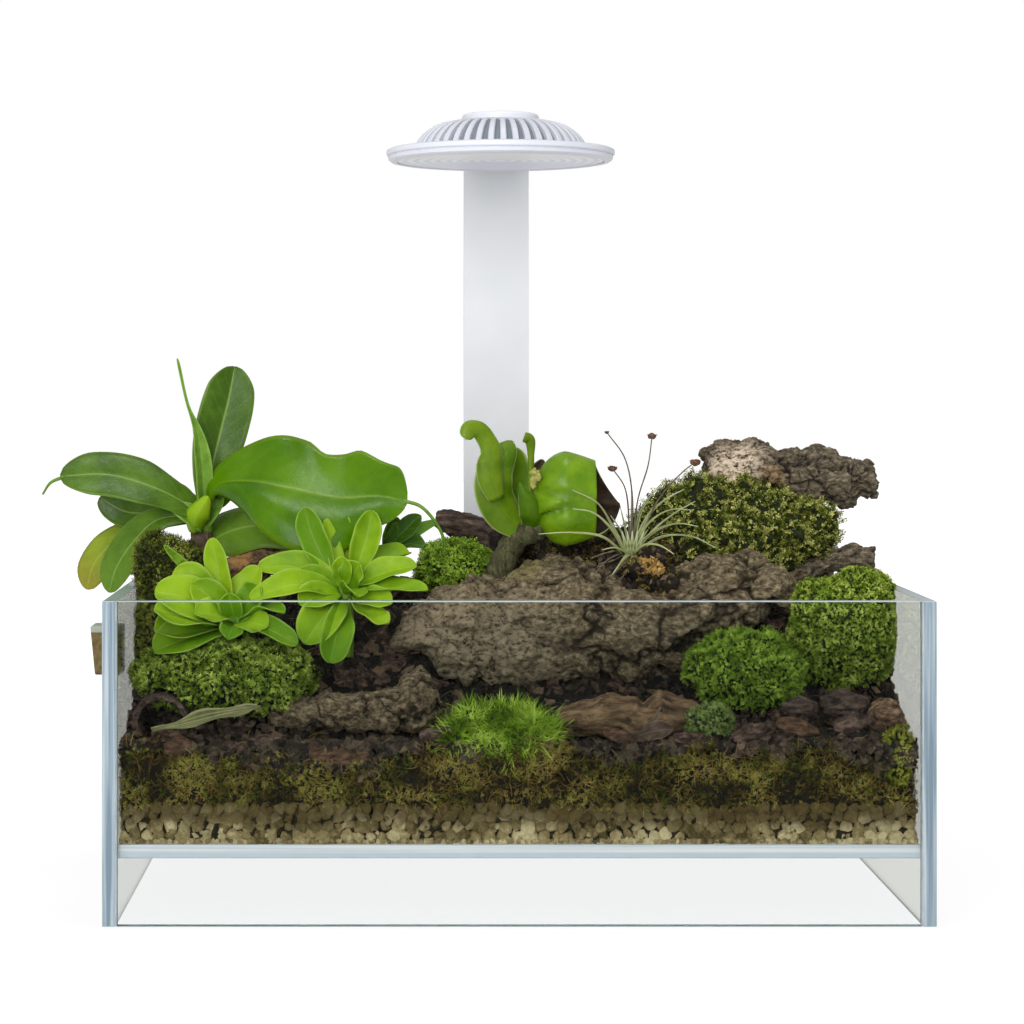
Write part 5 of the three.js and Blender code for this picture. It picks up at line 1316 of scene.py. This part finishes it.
def pouch_plant():
    """Hooked fleshy leaves and a swollen pouch, open at the right on its brown inside."""
    plant = Growth()
    fleshy, inside, root, skin, scar = range(5)
    plant.leaf([(-6, -41, 151), (-8, -42, 157), (-8.8, -42, 163), (-8, -42, 168.5), (-9.9, -42, 173.7),
                (-13, -43, 177.6), (-16.6, -44, 177.8), (-17.6, -45, 174)],
               [3.2, 4.6, 5, 4.4, 3.6, 3.4, 3.2, 2.8], (0.2, -0.95, 0.15), cup=-0.3, wave=0.3, rows=40,
               across=12, thick=1.2, tone=0.6, round_end=0.08)
    plant.leaf([(3.5, -35, 138.5), (-3, -37, 145), (-7, -38, 153.8), (-6.6, -38, 161), (-3, -37, 168),
                (0, -36, 173)],
               [4, 7, 7.6, 7, 5, 2.6], (0.15, -0.95, 0.2), cup=-0.2, wave=0.4, rows=36, across=12,
               thick=1.1, tone=0.45, round_end=0.12)
    plant.leaf([(6, -31, 137), (1.5, -27, 149), (-0.5, -25, 160), (-0.5, -25, 171)], [3, 8.5, 9, 5],
               (-0.2, -0.95, 0.1), cup=0.15, rows=20, across=10, thick=1.0, tone=0.3)
    plant.leaf([(8.5, -36, 138), (8, -44, 144), (5, -46, 151), (2.3, -45, 157.5)], [5, 5.2, 3.2, 0.6],
               (0, -1, 0), cup=-0.2, fold=-0.35, rows=18, across=10, thick=1.0, tone=0.1)
    plant.leaf([(7, -30, 150), (7.5, -29, 167), (6.9, -30, 173.5), (4.7, -32, 174.5)], [1.1, 1.2, 2, 2],
               (0, -1, 0), cup=-0.4, rows=20, across=6, thick=0.9, tone=0.6)
    plant.leaf([(8, -27, 158), (10.5, -25, 162.5), (12.5, -25, 165.5)], [1.8, 2.4, 1.2], (0.2, -0.95, 0.1),
               cup=0.5, rows=10, across=6, thick=0.8, finish=inside)
    pouch(plant, skin, inside, fleshy)
    for at, half in (((8.2, -44.3, 161), (1.9, 1.0, 1.9)), ((7.6, -45.2, 157.5), (1.4, 0.9, 2.4)),
                     ((9.2, -45.4, 159.5), (1.5, 0.8, 1.5))):
        plant.lump(at, half, 0.55, 1.1, rows=14, sides=18, finish=scar)
    plant.bar([(-8, -27, 112), (-4, -29, 124), (2, -32, 136), (12, -36, 141)], [5.5, 4.8, 4.8, 5],
              sides=16, rows=32, finish=root, rough=1.4, grain=2.6)
    return plant.piece("pouch_leaves", "pouch_plant", "pouch_leaf",
                       [POUCH_LEAF, POUCH_INSIDE, WOODY_ROOT, POUCH_SKIN, SCAR])


pouch_plant()


# ---- pale thin-leaved plant ----
def thin_leaved_plant():
    """Silvery ribbon leaves that arch from one foot, with dry flower stalks and thin roots."""
    plant, chance = Growth(), random.Random(5)
    ribbon, dry, head = 0, 1, 2
    for midrib in (
        [(43, -40, 131), (37.5, -45, 141), (31.5, -50, 150), (22, -53.5, 155)],
        [(43, -42, 130), (36, -50, 141), (29.5, -53, 146.5), (22, -54.5, 148)],
        [(42, -43, 130), (32.5, -53, 137.5), (21, -55, 139), (9, -55, 138.5)],
        [(46, -40, 131), (52, -42, 142), (60, -43, 147), (68, -44, 147)],
        [(46, -38, 131), (52, -36, 144), (59, -34, 150.5), (66.5, -33, 154.5)],
        [(46, -38, 131), (49, -36, 145), (53, -34, 151.5), (58, -33, 156.5)],
        [(47, -42, 130), (56, -44, 136.5), (67.5, -44, 137), (77.5, -44, 132.5)],
        [(44, -44, 130), (41, -50, 128), (37, -53, 123)],
        [(48, -38, 130), (53, -42, 130.5), (57.5, -45, 127)],
        [(47.5, -34, 130), (52.5, -22, 137), (57.5, -13, 141)],
        [(45.5, -37, 131), (46, -34, 144.5), (46, -32, 154)],
        [(46, -41, 131), (54, -46, 139), (62, -48, 142), (70, -49, 141)],
        [(44, -40, 131), (41, -43, 139), (37, -46, 145)],
        [(47, -40, 131), (55, -39, 140), (63, -38, 146), (70, -38, 150)],
        [(45, -38, 131), (43, -33, 142), (41.5, -31, 149)],
        [(46, -43, 130), (50, -50, 134), (55, -55, 134), (60, -57, 131)],
        [(44, -43, 130), (38, -51, 133), (33, -55, 132.5)],
    ):
        wide = chance.uniform(0.75, 1.15)
        plant.leaf(midrib, [0.85 * wide, 0.55 * wide, 0.3 * wide, 0.1], (0, -0.8, 0.6), cup=0.35, fold=0.3,
                   rows=20, across=4, thick=0.25, finish=ribbon, tone=chance.random(), round_end=0.02)
    for lean in (-6, -3.5, -1.5, 0.5, 2.5, 5):
        plant.leaf([(45 + lean * 0.15, -41, 126.5), (45 + lean * 0.5, -43, 132), (45 + lean, -43, 139)],
                   [1.7, 1.3, 0.7, 0.15], (0, -0.95, 0.2), cup=0.5, rows=12, across=4, thick=0.4,
                   finish=ribbon, tone=0.3, round_end=0.02)
    stalks = (
        ([(45, -38, 132), (46, -38, 150.5), (43, -39, 166.5), (36, -40, 176.5)], 0.8),
        ([(46, -38, 132), (48, -38, 150.5), (52, -38, 164), (53.5, -38, 175)], 1.7),
        ([(47, -38, 132), (56.5, -38, 151.5), (65.5, -38, 161.5), (70, -38, 165)], 1.9),
        ([(45, -36, 132), (44.5, -33, 150), (43, -34, 156), (38.5, -35, 162.5)], 1.7),
    )
    for path, size in stalks:
        plant.bar(path, [0.42, 0.28, 0.22], sides=6, rows=20, finish=dry, tone=0.4)
        plant.lump(path[3], (size, size * 0.85, size * 0.7), 0.35, 1.2, finish=head)
        for k in range(4):
            turn = k * 1.7
            out = Vector((math.cos(turn), math.sin(turn) * 0.7, 0.25)) * size
            plant.leaf([path[3], Vector(path[3]) + out * 0.6, Vector(path[3]) + out * 1.2],
                       [0.5, 0.6, 0.3], (0, -0.3, 0.9), rows=4, across=2, thick=0.3, finish=head)
    for path in (
        [(44, -40, 131), (38, -47, 128), (32, -52, 127)], [(45, -42, 131), (42, -49, 127), (37, -52, 123)],
        [(46, -42, 131), (48, -49, 127), (52, -52, 123)], [(45, -42, 130), (39, -48, 124), (37, -56, 121)],
        [(46, -41, 130), (52, -48, 125), (55, -53, 122)], [(45, -42, 129), (44, -48, 125), (40, -51, 121)],
        [(43, -41, 131), (36, -44, 128), (31, -47, 123)], [(44, -41, 128), (38, -44, 122), (34, -50, 119)],
        [(44, -42, 132), (36, -46, 131), (29, -50, 129)], [(44, -41, 127), (41, -46, 120), (38, -52, 116)],
    ):
        plant.bar(path, [0.3, 0.24, 0.14], sides=6, rows=20, finish=dry, rough=0.35, grain=2.5, tone=0.8)
    plant.lump((45.2, -39, 129.5), (2.6, 2.6, 3.6), 0.5, 2.0, finish=dry)
    plant.bar([(45, -38, 112), (45, -38, 120), (45, -38, 130)], [3, 3, 3], finish=dry, rough=0.5)
    return plant.piece("ribbon_leaves", "thin_leaved_plant", "pale_leaf", [SILVER_LEAF, STALK, FLOWER_HEAD])


thin_leaved_plant()



# ---- small dry things in front ----
def dry_leaves():
    """A long dry leaf curled along its length, a dead leaf and a forked twig."""
    curled = Growth()
    curled.leaf([(-133, -87, 68.8), (-119.5, -89, 72), (-105, -89, 75.4), (-93.4, -88, 77.7)],
                [0.5, 1.9, 2.7, 2.0, 0.4], (0.1, -0.8, 0.6), cup=0.5, wave=1.4, fold=0.3, rows=34,
                across=10, thick=0.4)
    curled.piece("curled_dry_leaf", "dry_leaf", "dry_leaf", [DRY_LEAF])
    dead = Growth()
    dead.leaf([(42, -86, 66), (46, -88, 68), (51, -90, 69.5), (56, -90, 70)], [1, 3, 3.5, 1],
              (0, -0.9, 0.4), cup=0.4, wave=0.5, rows=16, across=8, thick=0.4)
    dead.leaf([(47, -91, 72.5), (49.5, -92, 74), (50.2, -91, 76), (51.5, -90, 78)], [0.3, 0.6, 0.6, 0.2],
              (0.3, -0.9, 0.3), cup=0.8, rows=14, across=6, thick=0.3, tone=0.9)
    dead.piece("dead_leaf_scrap", "dead_leaf", "dead_leaf", [DEAD_LEAF])
    twig = Growth()
    twig.bar([(76, -88, 64), (82, -89, 69), (88, -90, 72)], [0.9, 0.7, 0.5], rough=0.2, grain=1.5)
    twig.bar([(76, -88, 64), (78.5, -89, 69), (79.5, -90, 75)], [0.8, 0.6, 0.5], rough=0.2, grain=1.5)
    twig.piece("forked_twig_bars", "forked_twig", "dark_wood", [DARK_WOOD])


dry_leaves()


# ---- wood and bark ----
def furrowed(crack, deep, swell, fine, along):
    """Old bark: uneven swellings, parted by cracks that wander, with a rough fibrous skin.

    crack is how far apart the cracks are and deep how deep they go, both in millimetres.
    """
    def shape(point, normal):
        p = Vector((point.x * along[0], point.y * along[1], point.z * along[2]))
        strayed = p + noise.noise_vector(point / 7) * 5 + noise.noise_vector(point / 2.5) * 1.2
        first, second = cells(strayed, crack)
        small_first, small_second = cells(strayed, crack * 0.42)
        gap = (min(second - first, 0.2) / 0.2) ** 0.6 - 1
        small_gap = (min(small_second - small_first, 0.25) / 0.25) ** 0.6 - 1
        body = swell * noise.fractal(point / 12, 1.0, 2.0, 3) + deep * gap + 0.25 * deep * small_gap
        rough = noise.fractal(Vector((strayed.x / 2.6, strayed.y / 1.5, strayed.z / 1.5)), 0.5, 2.1, 4)
        hollow = -1.0 * gap - 0.25 * small_gap - 0.3 * rough
        return body + fine * rough, hollow
    return shape


def ragged(grain, deep, along=(1, 1, 1), swell=0.0):
    """Bark broken into ridges of a given grain and depth, in millimetres."""
    def shape(point, normal):
        p = Vector((point.x * along[0], point.y * along[1], point.z * along[2])) / grain
        p = p + noise.noise_vector(point / 6) * 0.35
        ridge = min(noise.ridged_multi_fractal(p, 1.0, 2.1, 5, 1.0, 2.0), 2.2)
        body = deep * (ridge / 1.6 - 1.0) + swell * noise.noise(point / 8)
        grit = noise.noise(point / 1.1)
        return body + 0.4 * grit, 1.0 - ridge / 1.25 - 0.3 * grit
    return shape


def bark(name, node_name, slot, finish, voxel, shape, smooth):
    """A piece of bark or wood, its skin shaped and dressed."""
    body = weathered(name, node_name, voxel, shape, smooth)
    body.data.materials.append(finish)
    return finished(body, node_name, slot)


bark("middle_log_bark", "log_middle", "rough_bark", ROUGH_BARK, 0.72,
     furrowed(21, 3.3, 4.4, 0.6, (0.65, 1, 1.1)), 1)
bark("left_log_bark", "log_left", "rough_bark", LEFT_BARK, 0.6,
     furrowed(12, 2.0, 2.6, 0.55, (0.55, 1, 1)), 1)
bark("top_cork_bark", "cork_bark_top_right", "cork_bark", CORK_BARK, 0.6,
     furrowed(9, 1.9, 4.2, 0.6, (0.45, 1, 1)), 1)
bark("front_root_bark", "root_front_right", "root_wood", BROWN_ROOT, 0.6,
     ragged(9, 0.9, (0.35, 1, 1), 1.4), 3)
bark("right_branch_bark", "branch_right", "rough_bark", CORK_BARK, 0.5, ragged(5, 1.1, swell=1.6), 2)
bark("back_stub_wood", "wood_stub_back", "dark_wood", DARK_WOOD, 0.5,
     ragged(9, 0.8, (0.3, 1, 1), 1.2), 3)
bark("back_tan_bark", "bark_back_left", "root_wood", TAN_BARK, 0.5,
     ragged(6, 1.1, (0.6, 1, 1), 1.6), 2)
bark("curled_bark_strip", "bark_curl_left", "dark_wood", DARK_WOOD, 0.5, ragged(6, 0.5), 2)
for n in range(1, 6):
    bark(f"loose_chip_{n}", f"bark_chip_{n}", "root_wood", TAN_BARK if n in (1, 4) else DARK_WOOD, 0.4,
         ragged(4, 1.2, (0.4, 1, 1.3), 1.8), 1)


# ---- ground ----
SOIL, PEAT, GRAVEL = ("soil", "dark_soil"), ("moss_peat", "moss_peat"), ("gravel", "gravel")


def uneven(amount, grain, inset):
    """A surface that wanders in and out, and lies an inset below the solid's own."""
    def shape(point, normal):
        return amount * (noise.fractal(point / grain, 0.9, 2.0, 3) - 0.6) - inset, 0.0
    return shape


def packed_gravel(point, normal):
    """The dark bed between the pebbles, painted as their shade, that keeps clear of the upright panes but
    lies flat on the glass floor.
    """
    sunk = 1.3 * (1 - max(0.0, -normal.z) ** 0.5)
    return 0.4 * (noise.fractal(point / 4, 0.9, 2.0, 3) - 0.6) - sunk, 0.0


def bed(name, layer, finish, shape):
    """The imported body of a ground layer, on which its loose grains or strands sit."""
    body = weathered(name, layer[0], 1.95, shape, 1)
    body.data.materials.append(finish)
    return finished(body, *layer)


soil_bed = bed("soil_bed", SOIL, DARK_EARTH, uneven(1.0, 5, 0.0))
peat_bed = bed("peat_bed", PEAT, PEAT_BED, uneven(1.0, 3.5, 0.4))
bed("gravel_bed", GRAVEL, GRAVEL_GAP_SHADE, packed_gravel)


def earth_heap():
    """Loose earth and rotten wood behind the middle log, where the plants on it root."""
    heap = Growth()
    for centre, half in (((2, -14, 121), (13, 8, 10)), ((16, -13, 124), (14, 9, 12)),
                         ((31, -15, 123), (14, 9, 12.5)), ((45, -19, 124), (12, 10, 11)),
                         ((50, -40, 121), (11, 9, 7.5)), ((58, -17, 126), (12, 9, 11))):
        heap.lump(centre, half, 0.9, 5.0, rows=30, sides=44, tone=0.3)
    return heap.piece("earth_heap", *SOIL, [DARK_EARTH])


heap = earth_heap()


def scraps_at_the_glass():
    """Flat scraps of bark that lie in the peat and the soil, right behind the front glass."""
    scraps = Growth()
    for centre, half, lean, finish in (
            ((-64.7, -94.3, 61.5), (11, 0.6, 3.9), -0.08, 1), ((-123, -94.2, 64.5), (5, 0.9, 3.6), 0.25, 1),
            ((-30, -92.5, 69), (6, 1.2, 2.2), 0.2, 0), ((64, -92.5, 66.5), (8, 1.3, 2.4), -0.1, 0),
            ((84, -92, 69), (7, 1.4, 2.8), 0.3, 0), ((101, -91.5, 71), (8, 1.5, 3), -0.25, 1),
            ((121, -91.5, 72.5), (7, 1.5, 3.2), 0.2, 0), ((36, -92.6, 68), (6, 1.2, 2.4), -0.3, 1),
            ((-92, -92.6, 66.5), (6, 1.2, 2), 0.15, 0)):
        along = np.array((half[0] * math.cos(lean), 0, half[0] * math.sin(lean)))
        middle = np.array(centre, float)
        widths = [half[2] * share for share in (0.5, 0.9, 1, 0.7, 0.3)]
        scraps.leaf([middle - along, middle - along * 0.3, middle + along * 0.4, middle + along], widths,
                    (0.05, -1, 0.1), cup=-0.1, wave=0.5, rows=26, across=10, thick=half[1], finish=finish,
                    round_end=0.08)
    return scraps.piece("bark_scraps_at_the_glass", *SOIL, [BARK_SCRAP, RED_SCRAP])


scraps_at_the_glass()
crumbs = shoot("crumbs", 5, 11, pebble, size=(1.4, 1.2, 1.0), rough=0.35, level=1)
scraps = shoot("scraps", 6, 12, flake, size=3.4, thin=0.5)
slabs = shoot("slabs", 7, 18, flake, size=8.0, thin=1.6)
shreds = shoot("shreds", 6, 15, blades, count=1, length=11, width=0.4, spread=1.2, steps=5, root=-0.5,
               curl=1.3)
sprigs = shoot("peat sprigs", 6, 13, leaflets, length=2.6, pairs=4, size=1.3, width=0.55, droop=0.9)
strands = shoot("peat strands", 5, 16, blades, count=3, length=5.5, width=0.35, spread=1.4, steps=3,
                root=-0.4, curl=0.9)


def cover(name, layer, surface, kind, finish, per_mm, seed, smallest, largest, tilt, upright=0.0,
          patch=0.012, patchiness=0.4, lowest=-0.6, highest=2.0):
    """Grows one kind of shoot, crumb or scrap over a surface, on the slopes from lowest to highest."""
    return grown(name, surface, ON_SURFACE, {
        "Shoots": kind, "Shoots per square millimetre": per_mm, "Patch size in metres": patch,
        "Patchiness": patchiness, "Lowest slope": lowest, "Highest slope": highest, "Smallest": smallest,
        "Largest": largest, "Tilt": tilt, "Upright": upright, "Seed": seed, "Finish": finish,
    }, *layer)


soil, on_heap, peat = soil_bed.data, heap.data, peat_bed.data
cover("soil_crumbs", SOIL, soil, crumbs, EARTH_CRUMB, 0.105, 21, 0.4, 1.5, 1.5)
cover("soil_litter", SOIL, soil, scraps, LITTER, 0.04, 22, 0.4, 1.5, 0.8, patch=0.03, patchiness=0.7)
cover("soil_slabs", SOIL, soil, slabs, BARK_SCRAP, 0.01, 36, 0.4, 1.2, 0.5, patch=0.03, patchiness=0.5)
cover("soil_shreds", SOIL, soil, shreds, PEAT_FIBRE, 0.02, 26, 0.5, 1.1, 0.9)
cover("heap_crumbs", SOIL, on_heap, crumbs, EARTH_CRUMB, 0.19, 27, 0.4, 1.3, 1.5)
cover("heap_litter", SOIL, on_heap, scraps, LITTER, 0.09, 28, 0.3, 0.9, 0.9)
cover("heap_sprigs", SOIL, on_heap, sprigs, PEAT_SPRIG, 0.3, 29, 0.5, 1.1, 0.8, patchiness=1)
cover("peat_sprigs", PEAT, peat, sprigs, PEAT_SPRIG, 0.42, 23, 0.6, 1.15, 0.9, lowest=-0.5, highest=0.5)
cover("peat_tips", PEAT, peat, sprigs, GREEN_PEAT, 0.35, 30, 0.5, 1.1, 0.9, patch=0.02, patchiness=1,
      lowest=-0.5, highest=0.5)
cover("peat_strands", PEAT, peat, strands, PEAT_FIBRE, 0.28, 31, 0.5, 1.2, 0.8, patchiness=0.8,
      lowest=-0.5, highest=0.5)


def fringe(name, rising):
    """A strip just inside the front and side glass.

    It is where the peat moss climbs over the soil, or, between those places, where the soil has
    fallen down over the peat.
    """
    side, front, foot, seam, top = 143.4, -93.6, 57, 60, 65
    mesh, points, faces = bpy.data.meshes.new(name), [], []
    path = [(-side, y) for y in range(40, -94, -3)] + [(x, front) for x in range(-143, 144, 3)]
    path += [(side, y) for y in range(-93, 41, 3)]
    for n, (x, y) in enumerate(path):
        climb = 14 * noise.noise(Vector((x / 21, y / 21, 1))) + 6 * noise.noise(Vector((x / 6, y / 6, 5)))
        low, high = (foot, seam + climb) if rising else (seam + 1 + climb, top)
        points += [(x, y, low), (x, y, max(high, low + 0.01))]
        if n:
            faces.append((2 * n - 2, 2 * n, 2 * n + 1, 2 * n - 1))
    mesh.from_pydata([place(*point) for point in points], [], faces)
    return mesh


climbing, fallen = fringe("climbing", True), fringe("fallen", False)
cover("climbing_sprigs", PEAT, climbing, sprigs, PEAT_SPRIG, 0.55, 32, 0.5, 1.1, 1.0, 0.3, patchiness=0.5)
cover("climbing_tips", PEAT, climbing, sprigs, GREEN_PEAT, 0.4, 33, 0.6, 1.2, 0.9, 0.5, 0.02, 1)
cover("fallen_crumbs", SOIL, fallen, crumbs, EARTH_CRUMB, 0.6, 37, 0.5, 1.5, 1.5, patchiness=0.1, lowest=-2)
cover("fallen_scraps", SOIL, fallen, scraps, LITTER, 0.09, 38, 0.4, 1.3, 1.2, lowest=-2)
cover("climbing_strands", PEAT, climbing, strands, PEAT_FIBRE, 0.2, 34, 0.6, 1.3, 0.8)


def pebble_places():
    """Points in a loose packing just inside each pane."""
    chance = random.Random(4)
    points = []
    inset, pitch = 2.7, 4.7
    x_end, y_front, y_back = INNER_SIDE - inset, INNER_FRONT + inset, INNER_BACK - inset
    for row, z in enumerate((31.6, 35.2, 38.6, 41.4)):
        x = -x_end + (row % 2) * pitch / 2
        while x < x_end:
            for y in (y_front, y_back):
                points.append((x, y + chance.uniform(-0.3, 0.8), z + chance.uniform(-0.5, 0.8)))
            x += pitch * chance.uniform(0.8, 1.12)
        y = y_front + pitch
        while y < y_back - pitch / 2:
            for side in (-1, 1):
                points.append((side * x_end, y, z + chance.uniform(-0.5, 0.8)))
            y += pitch * chance.uniform(0.82, 1.12)
    return points


def floor_places():
    """Points for the pebbles that lie on the glass floor, in rows that are each set off from the last."""
    chance = random.Random(9)
    points = []
    rows, columns, centre_height = 25, 48, FLOOR_TOP + 2.9
    for row in range(rows):
        for column in range(columns):
            points.append((-138 + column * 5.85 + (row % 2) * 2.9 + chance.uniform(-0.6, 0.6),
                           -86.5 + row * 5.6 + chance.uniform(-0.6, 0.6), centre_height))
    return points


def grit_places():
    """Points for the small stones that fill the gaps behind the glass, and line the floor's edge."""
    chance = random.Random(12)
    points = []
    lowest, highest, pitch = FLOOR_TOP + 1, 42.5, 1.3
    for n in range(900):
        z = chance.choice((lowest, chance.uniform(lowest, highest)))
        far = chance.uniform(-143, 143)
        points.append((far, chance.choice((-93.4, 53.4)), z))
        if n % 2:
            points.append((chance.choice((-143.4, 143.4)), chance.uniform(-93, 53), z))
    for n in range(-110, 111):
        for y in (-93.8, 53.8):
            points.append((n * pitch, y + chance.uniform(-0.2, 0.3),
                           lowest - 0.1 + chance.uniform(-0.2, 0.3)))
    for n in range(-71, 42):
        for x in (-143.8, 143.8):
            points.append((x, n * pitch, lowest - 0.1 + chance.uniform(-0.2, 0.3)))
    return points


stones = shoot("stones", 9, 14, pebble, size=(2.9, 2.6, 2.5), rough=0.26, level=2)
plain_stones = shoot("plain stones", 9, 19, pebble, size=(2.9, 2.6, 2.5), rough=0.2, level=1)
grit = shoot("grit", 6, 17, pebble, size=(1.35, 1.2, 1.1), rough=0.3, level=1)


def strewn(name, places, kind, smallest, largest, seed):
    """Sets stones at given places, each turned its own way."""
    mesh = bpy.data.meshes.new(name)
    mesh.from_pydata([place(*point) for point in places], [], [])
    return grown(name, mesh, AT_POINTS, {
        "Shoots": kind, "Smallest": smallest, "Largest": largest, "Tilt": 3.1, "Upright": 0.0, "Seed": seed,
        "Finish": PEBBLE,
    }, *GRAVEL)


strewn("wall_pebbles", pebble_places(), stones, 0.75, 1.15, 24)
strewn("floor_pebbles", floor_places(), plain_stones, 0.9, 1.1, 25)
strewn("grit_stones", grit_places(), grit, 0.6, 1.2, 35)


# ---- mosses ----
SPRIG = shoot("cushion sprigs", 6, 41, leaflets, length=1.9, pairs=4, size=1.15, width=0.62)
FINE_SPRIG = shoot("fine sprigs", 6, 42, leaflets, length=1.9, pairs=4, size=0.95, width=0.42)
FROND = shoot("fronds", 6, 43, leaflets, length=4.2, pairs=6, size=1.7, width=0.75, droop=0.6)
GRASS = shoot("grass tufts", 7, 44, blades, count=5, length=9.5, width=0.36, spread=0.75, steps=4,
              root=-1.5, curl=0.45)
CRUST = shoot("lichen plates", 6, 45, flake, size=1.5, thin=0.3)


def moss(name, node_name, slot, kind, finish, per_mm, seed, inset=1.4, bumps=1.0, bulges=(), voxel=1.2,
         smooth=3, smallest=0.7, largest=1.25, tilt=0.6, upright=0.15, patch=0.006, patchiness=0.3,
         lowest=-0.7):
    """A cushion of moss: a soft dark body, close set with shoots.

    Each bulge pushes the body out round its centre, out to a radius, by so many millimetres.
    """
    def soft(point, normal):
        push = sum(out * max(0.0, 1 - (point - Vector(centre)).length / radius)
                   for centre, radius, out in bulges)
        return bumps * noise.fractal(point / 5.5, 1.0, 2.0, 3) - inset + push, 0.0
    body = weathered(f"{name}_bed", node_name, voxel, soft, smooth)
    body.data.materials.append(MOSS_BED)
    finished(body, node_name, slot)
    cover(name, (node_name, slot), body.data, kind, finish, per_mm, seed, smallest, largest, tilt, upright,
          patch, patchiness, lowest)


moss("front_left_moss", "moss_mound_front_left", "cushion_moss", SPRIG, CUSHION_MOSS, 1.65, 41,
     bumps=2.4, smallest=0.5, largest=1.1, tilt=0.95)
moss("back_left_moss", "moss_stump_back_left", "dark_moss", FINE_SPRIG, DARK_MOSS, 1.3, 42, bumps=2.5,
     bulges=[((-142, -40, 126), 14, 6), ((-121, -42, 124), 18, 7), ((-131, -38, 135), 14, 4)])
moss("back_cushion_moss", "moss_cushion_back", "bright_moss", FINE_SPRIG, BRIGHT_MOSS, 2.2, 43, 1.0)
moss("front_grassy_moss", "moss_tuft_front", "grassy_moss", GRASS, GRASSY_MOSS, 0.85, 44, 2.6, 2.6,
     smallest=0.5, largest=1.2, upright=0.35, lowest=-0.85)
moss("front_right_moss", "moss_dome_front_right", "bright_moss", FINE_SPRIG, BRIGHT_MOSS, 2.05, 45, 2.4,
     2.8, smallest=0.55, largest=1.15)
moss("right_block_moss", "moss_block_right", "cushion_moss", SPRIG, CUSHION_MOSS, 1.7, 46, 1.0, 1.2,
     [((139, -46, 122), 14, 5), ((107, -48, 121), 13, 4), ((141, -48, 83), 12, 3),
      ((108, -50, 82), 12, 3)],
     smooth=1, smallest=0.55, largest=0.95, tilt=0.85, upright=0.0)
moss("top_right_feathery_moss", "moss_feathery_top_right", "feathery_moss", FROND, FEATHERY_MOSS, 0.62,
     47, 2.0, 3.8,
     [((60, -12, 146), 18, 9), ((76, -12, 154), 12, 5), ((128, -16, 138), 16, 6),
      ((57, -16, 134), 10, 4)],
     smallest=0.4, largest=1.05, tilt=0.9, patch=0.009, patchiness=0.7)
moss("pale_moss", "moss_clump_pale", "pale_moss", FINE_SPRIG, PALE_MOSS, 1.8, 48, voxel=0.9, tilt=0.9)
moss("corner_moss", "moss_clump_corner", "yellow_moss", FINE_SPRIG, YELLOW_MOSS, 1.8, 49, voxel=0.9)
moss("lichen_plates", "lichen_patch", "orange_lichen", CRUST, LICHEN_CRUST, 1.1, 50, 0.4, voxel=0.8,
     tilt=0.8)


# ---- table, room and light ----
def seen_straight(tree):
    """1 on a ray from the eye that has met nothing but glass, else 0."""
    ray = node(tree, "ShaderNodeLightPath").outputs
    unbounced = node(tree, MATH, (ray["Diffuse Depth"], 0.5), operation="LESS_THAN")
    through_glass = node(tree, MATH, (ray["Is Transmission Ray"], unbounced), operation="MULTIPLY")
    return node(tree, MATH, (ray["Is Camera Ray"], through_glass), operation="MAXIMUM")


def lit_acrylic(name):
    """A lit white acrylic table, with a painted shadow that dims it a little round the tank.

    It is brighter where it is seen, straight or through the glass, than where it lights the tank, so
    the hollows between the leaves stay dark. The white room below is the same.
    """
    made, tree, shader = new_material(name)
    # Painted shadow: the glow falls by up to 0.17 towards the tank's middle.
    glow_under_painted_shadow = node(tree, MATH, (near(tree, (0, -20, 0), 700), -0.17, 1.06), operation="MULTIPLY_ADD")
    as_seen = node(tree, MATH, (seen_straight(tree), 0.25, 0.75), operation="MULTIPLY_ADD")
    join_sockets(tree, shader, {
        "Base Color": "#686868", "Roughness": 0.9, "Specular IOR Level": 0.1, "Emission Color": "#ffffff",
        "Emission Strength": node(tree, MATH, (glow_under_painted_shadow, as_seen), operation="MULTIPLY"),
    })
    return made


def table_top(half, height):
    """The table that the tank stands on, in metres."""
    mesh = bpy.data.meshes.new("table")
    corners = [(x * half, y * half, height) for x, y in ((-1, -1), (1, -1), (1, 1), (-1, 1))]
    mesh.from_pydata(corners, [], [(0, 1, 2, 3)])
    mesh.materials.append(lit_acrylic("lit white acrylic table"))
    top = bpy.data.objects.new("table", mesh)
    SCENE.collection.objects.link(top)
    return top


table_top(4, -0.0006)

world = bpy.data.worlds.new("studio")
world.use_nodes = True
room = world.node_tree
join_sockets(room, room.nodes["Background"], {
    "Color": "#ffffff",
    "Strength": node(room, MATH, (seen_straight(room), 0.54, 0.46), operation="MULTIPLY_ADD"),
})
SCENE.world = world
SCENE.view_settings.view_transform = "Standard"


def soft_light(name, where, aim, size, power):
    """A large soft panel light."""
    data = bpy.data.lights.new(name, "AREA")
    data.shape = "RECTANGLE"
    data.size, data.size_y = size
    data.energy = power
    lamp = bpy.data.objects.new(name, data)
    SCENE.collection.objects.link(lamp)
    lamp.location = where
    lamp.rotation_euler = (Vector(aim) - Vector(where)).to_track_quat("-Z", "Y").to_euler()
    return lamp


soft_light("top panel", (0.1, -0.3, 2.2), (0, 0, 0.1), (0.8, 0.7), 11)
soft_light("front panel", (-0.6, -2.3, 0.95), (0, 0, 0.15), (1.7, 1.5), 37)
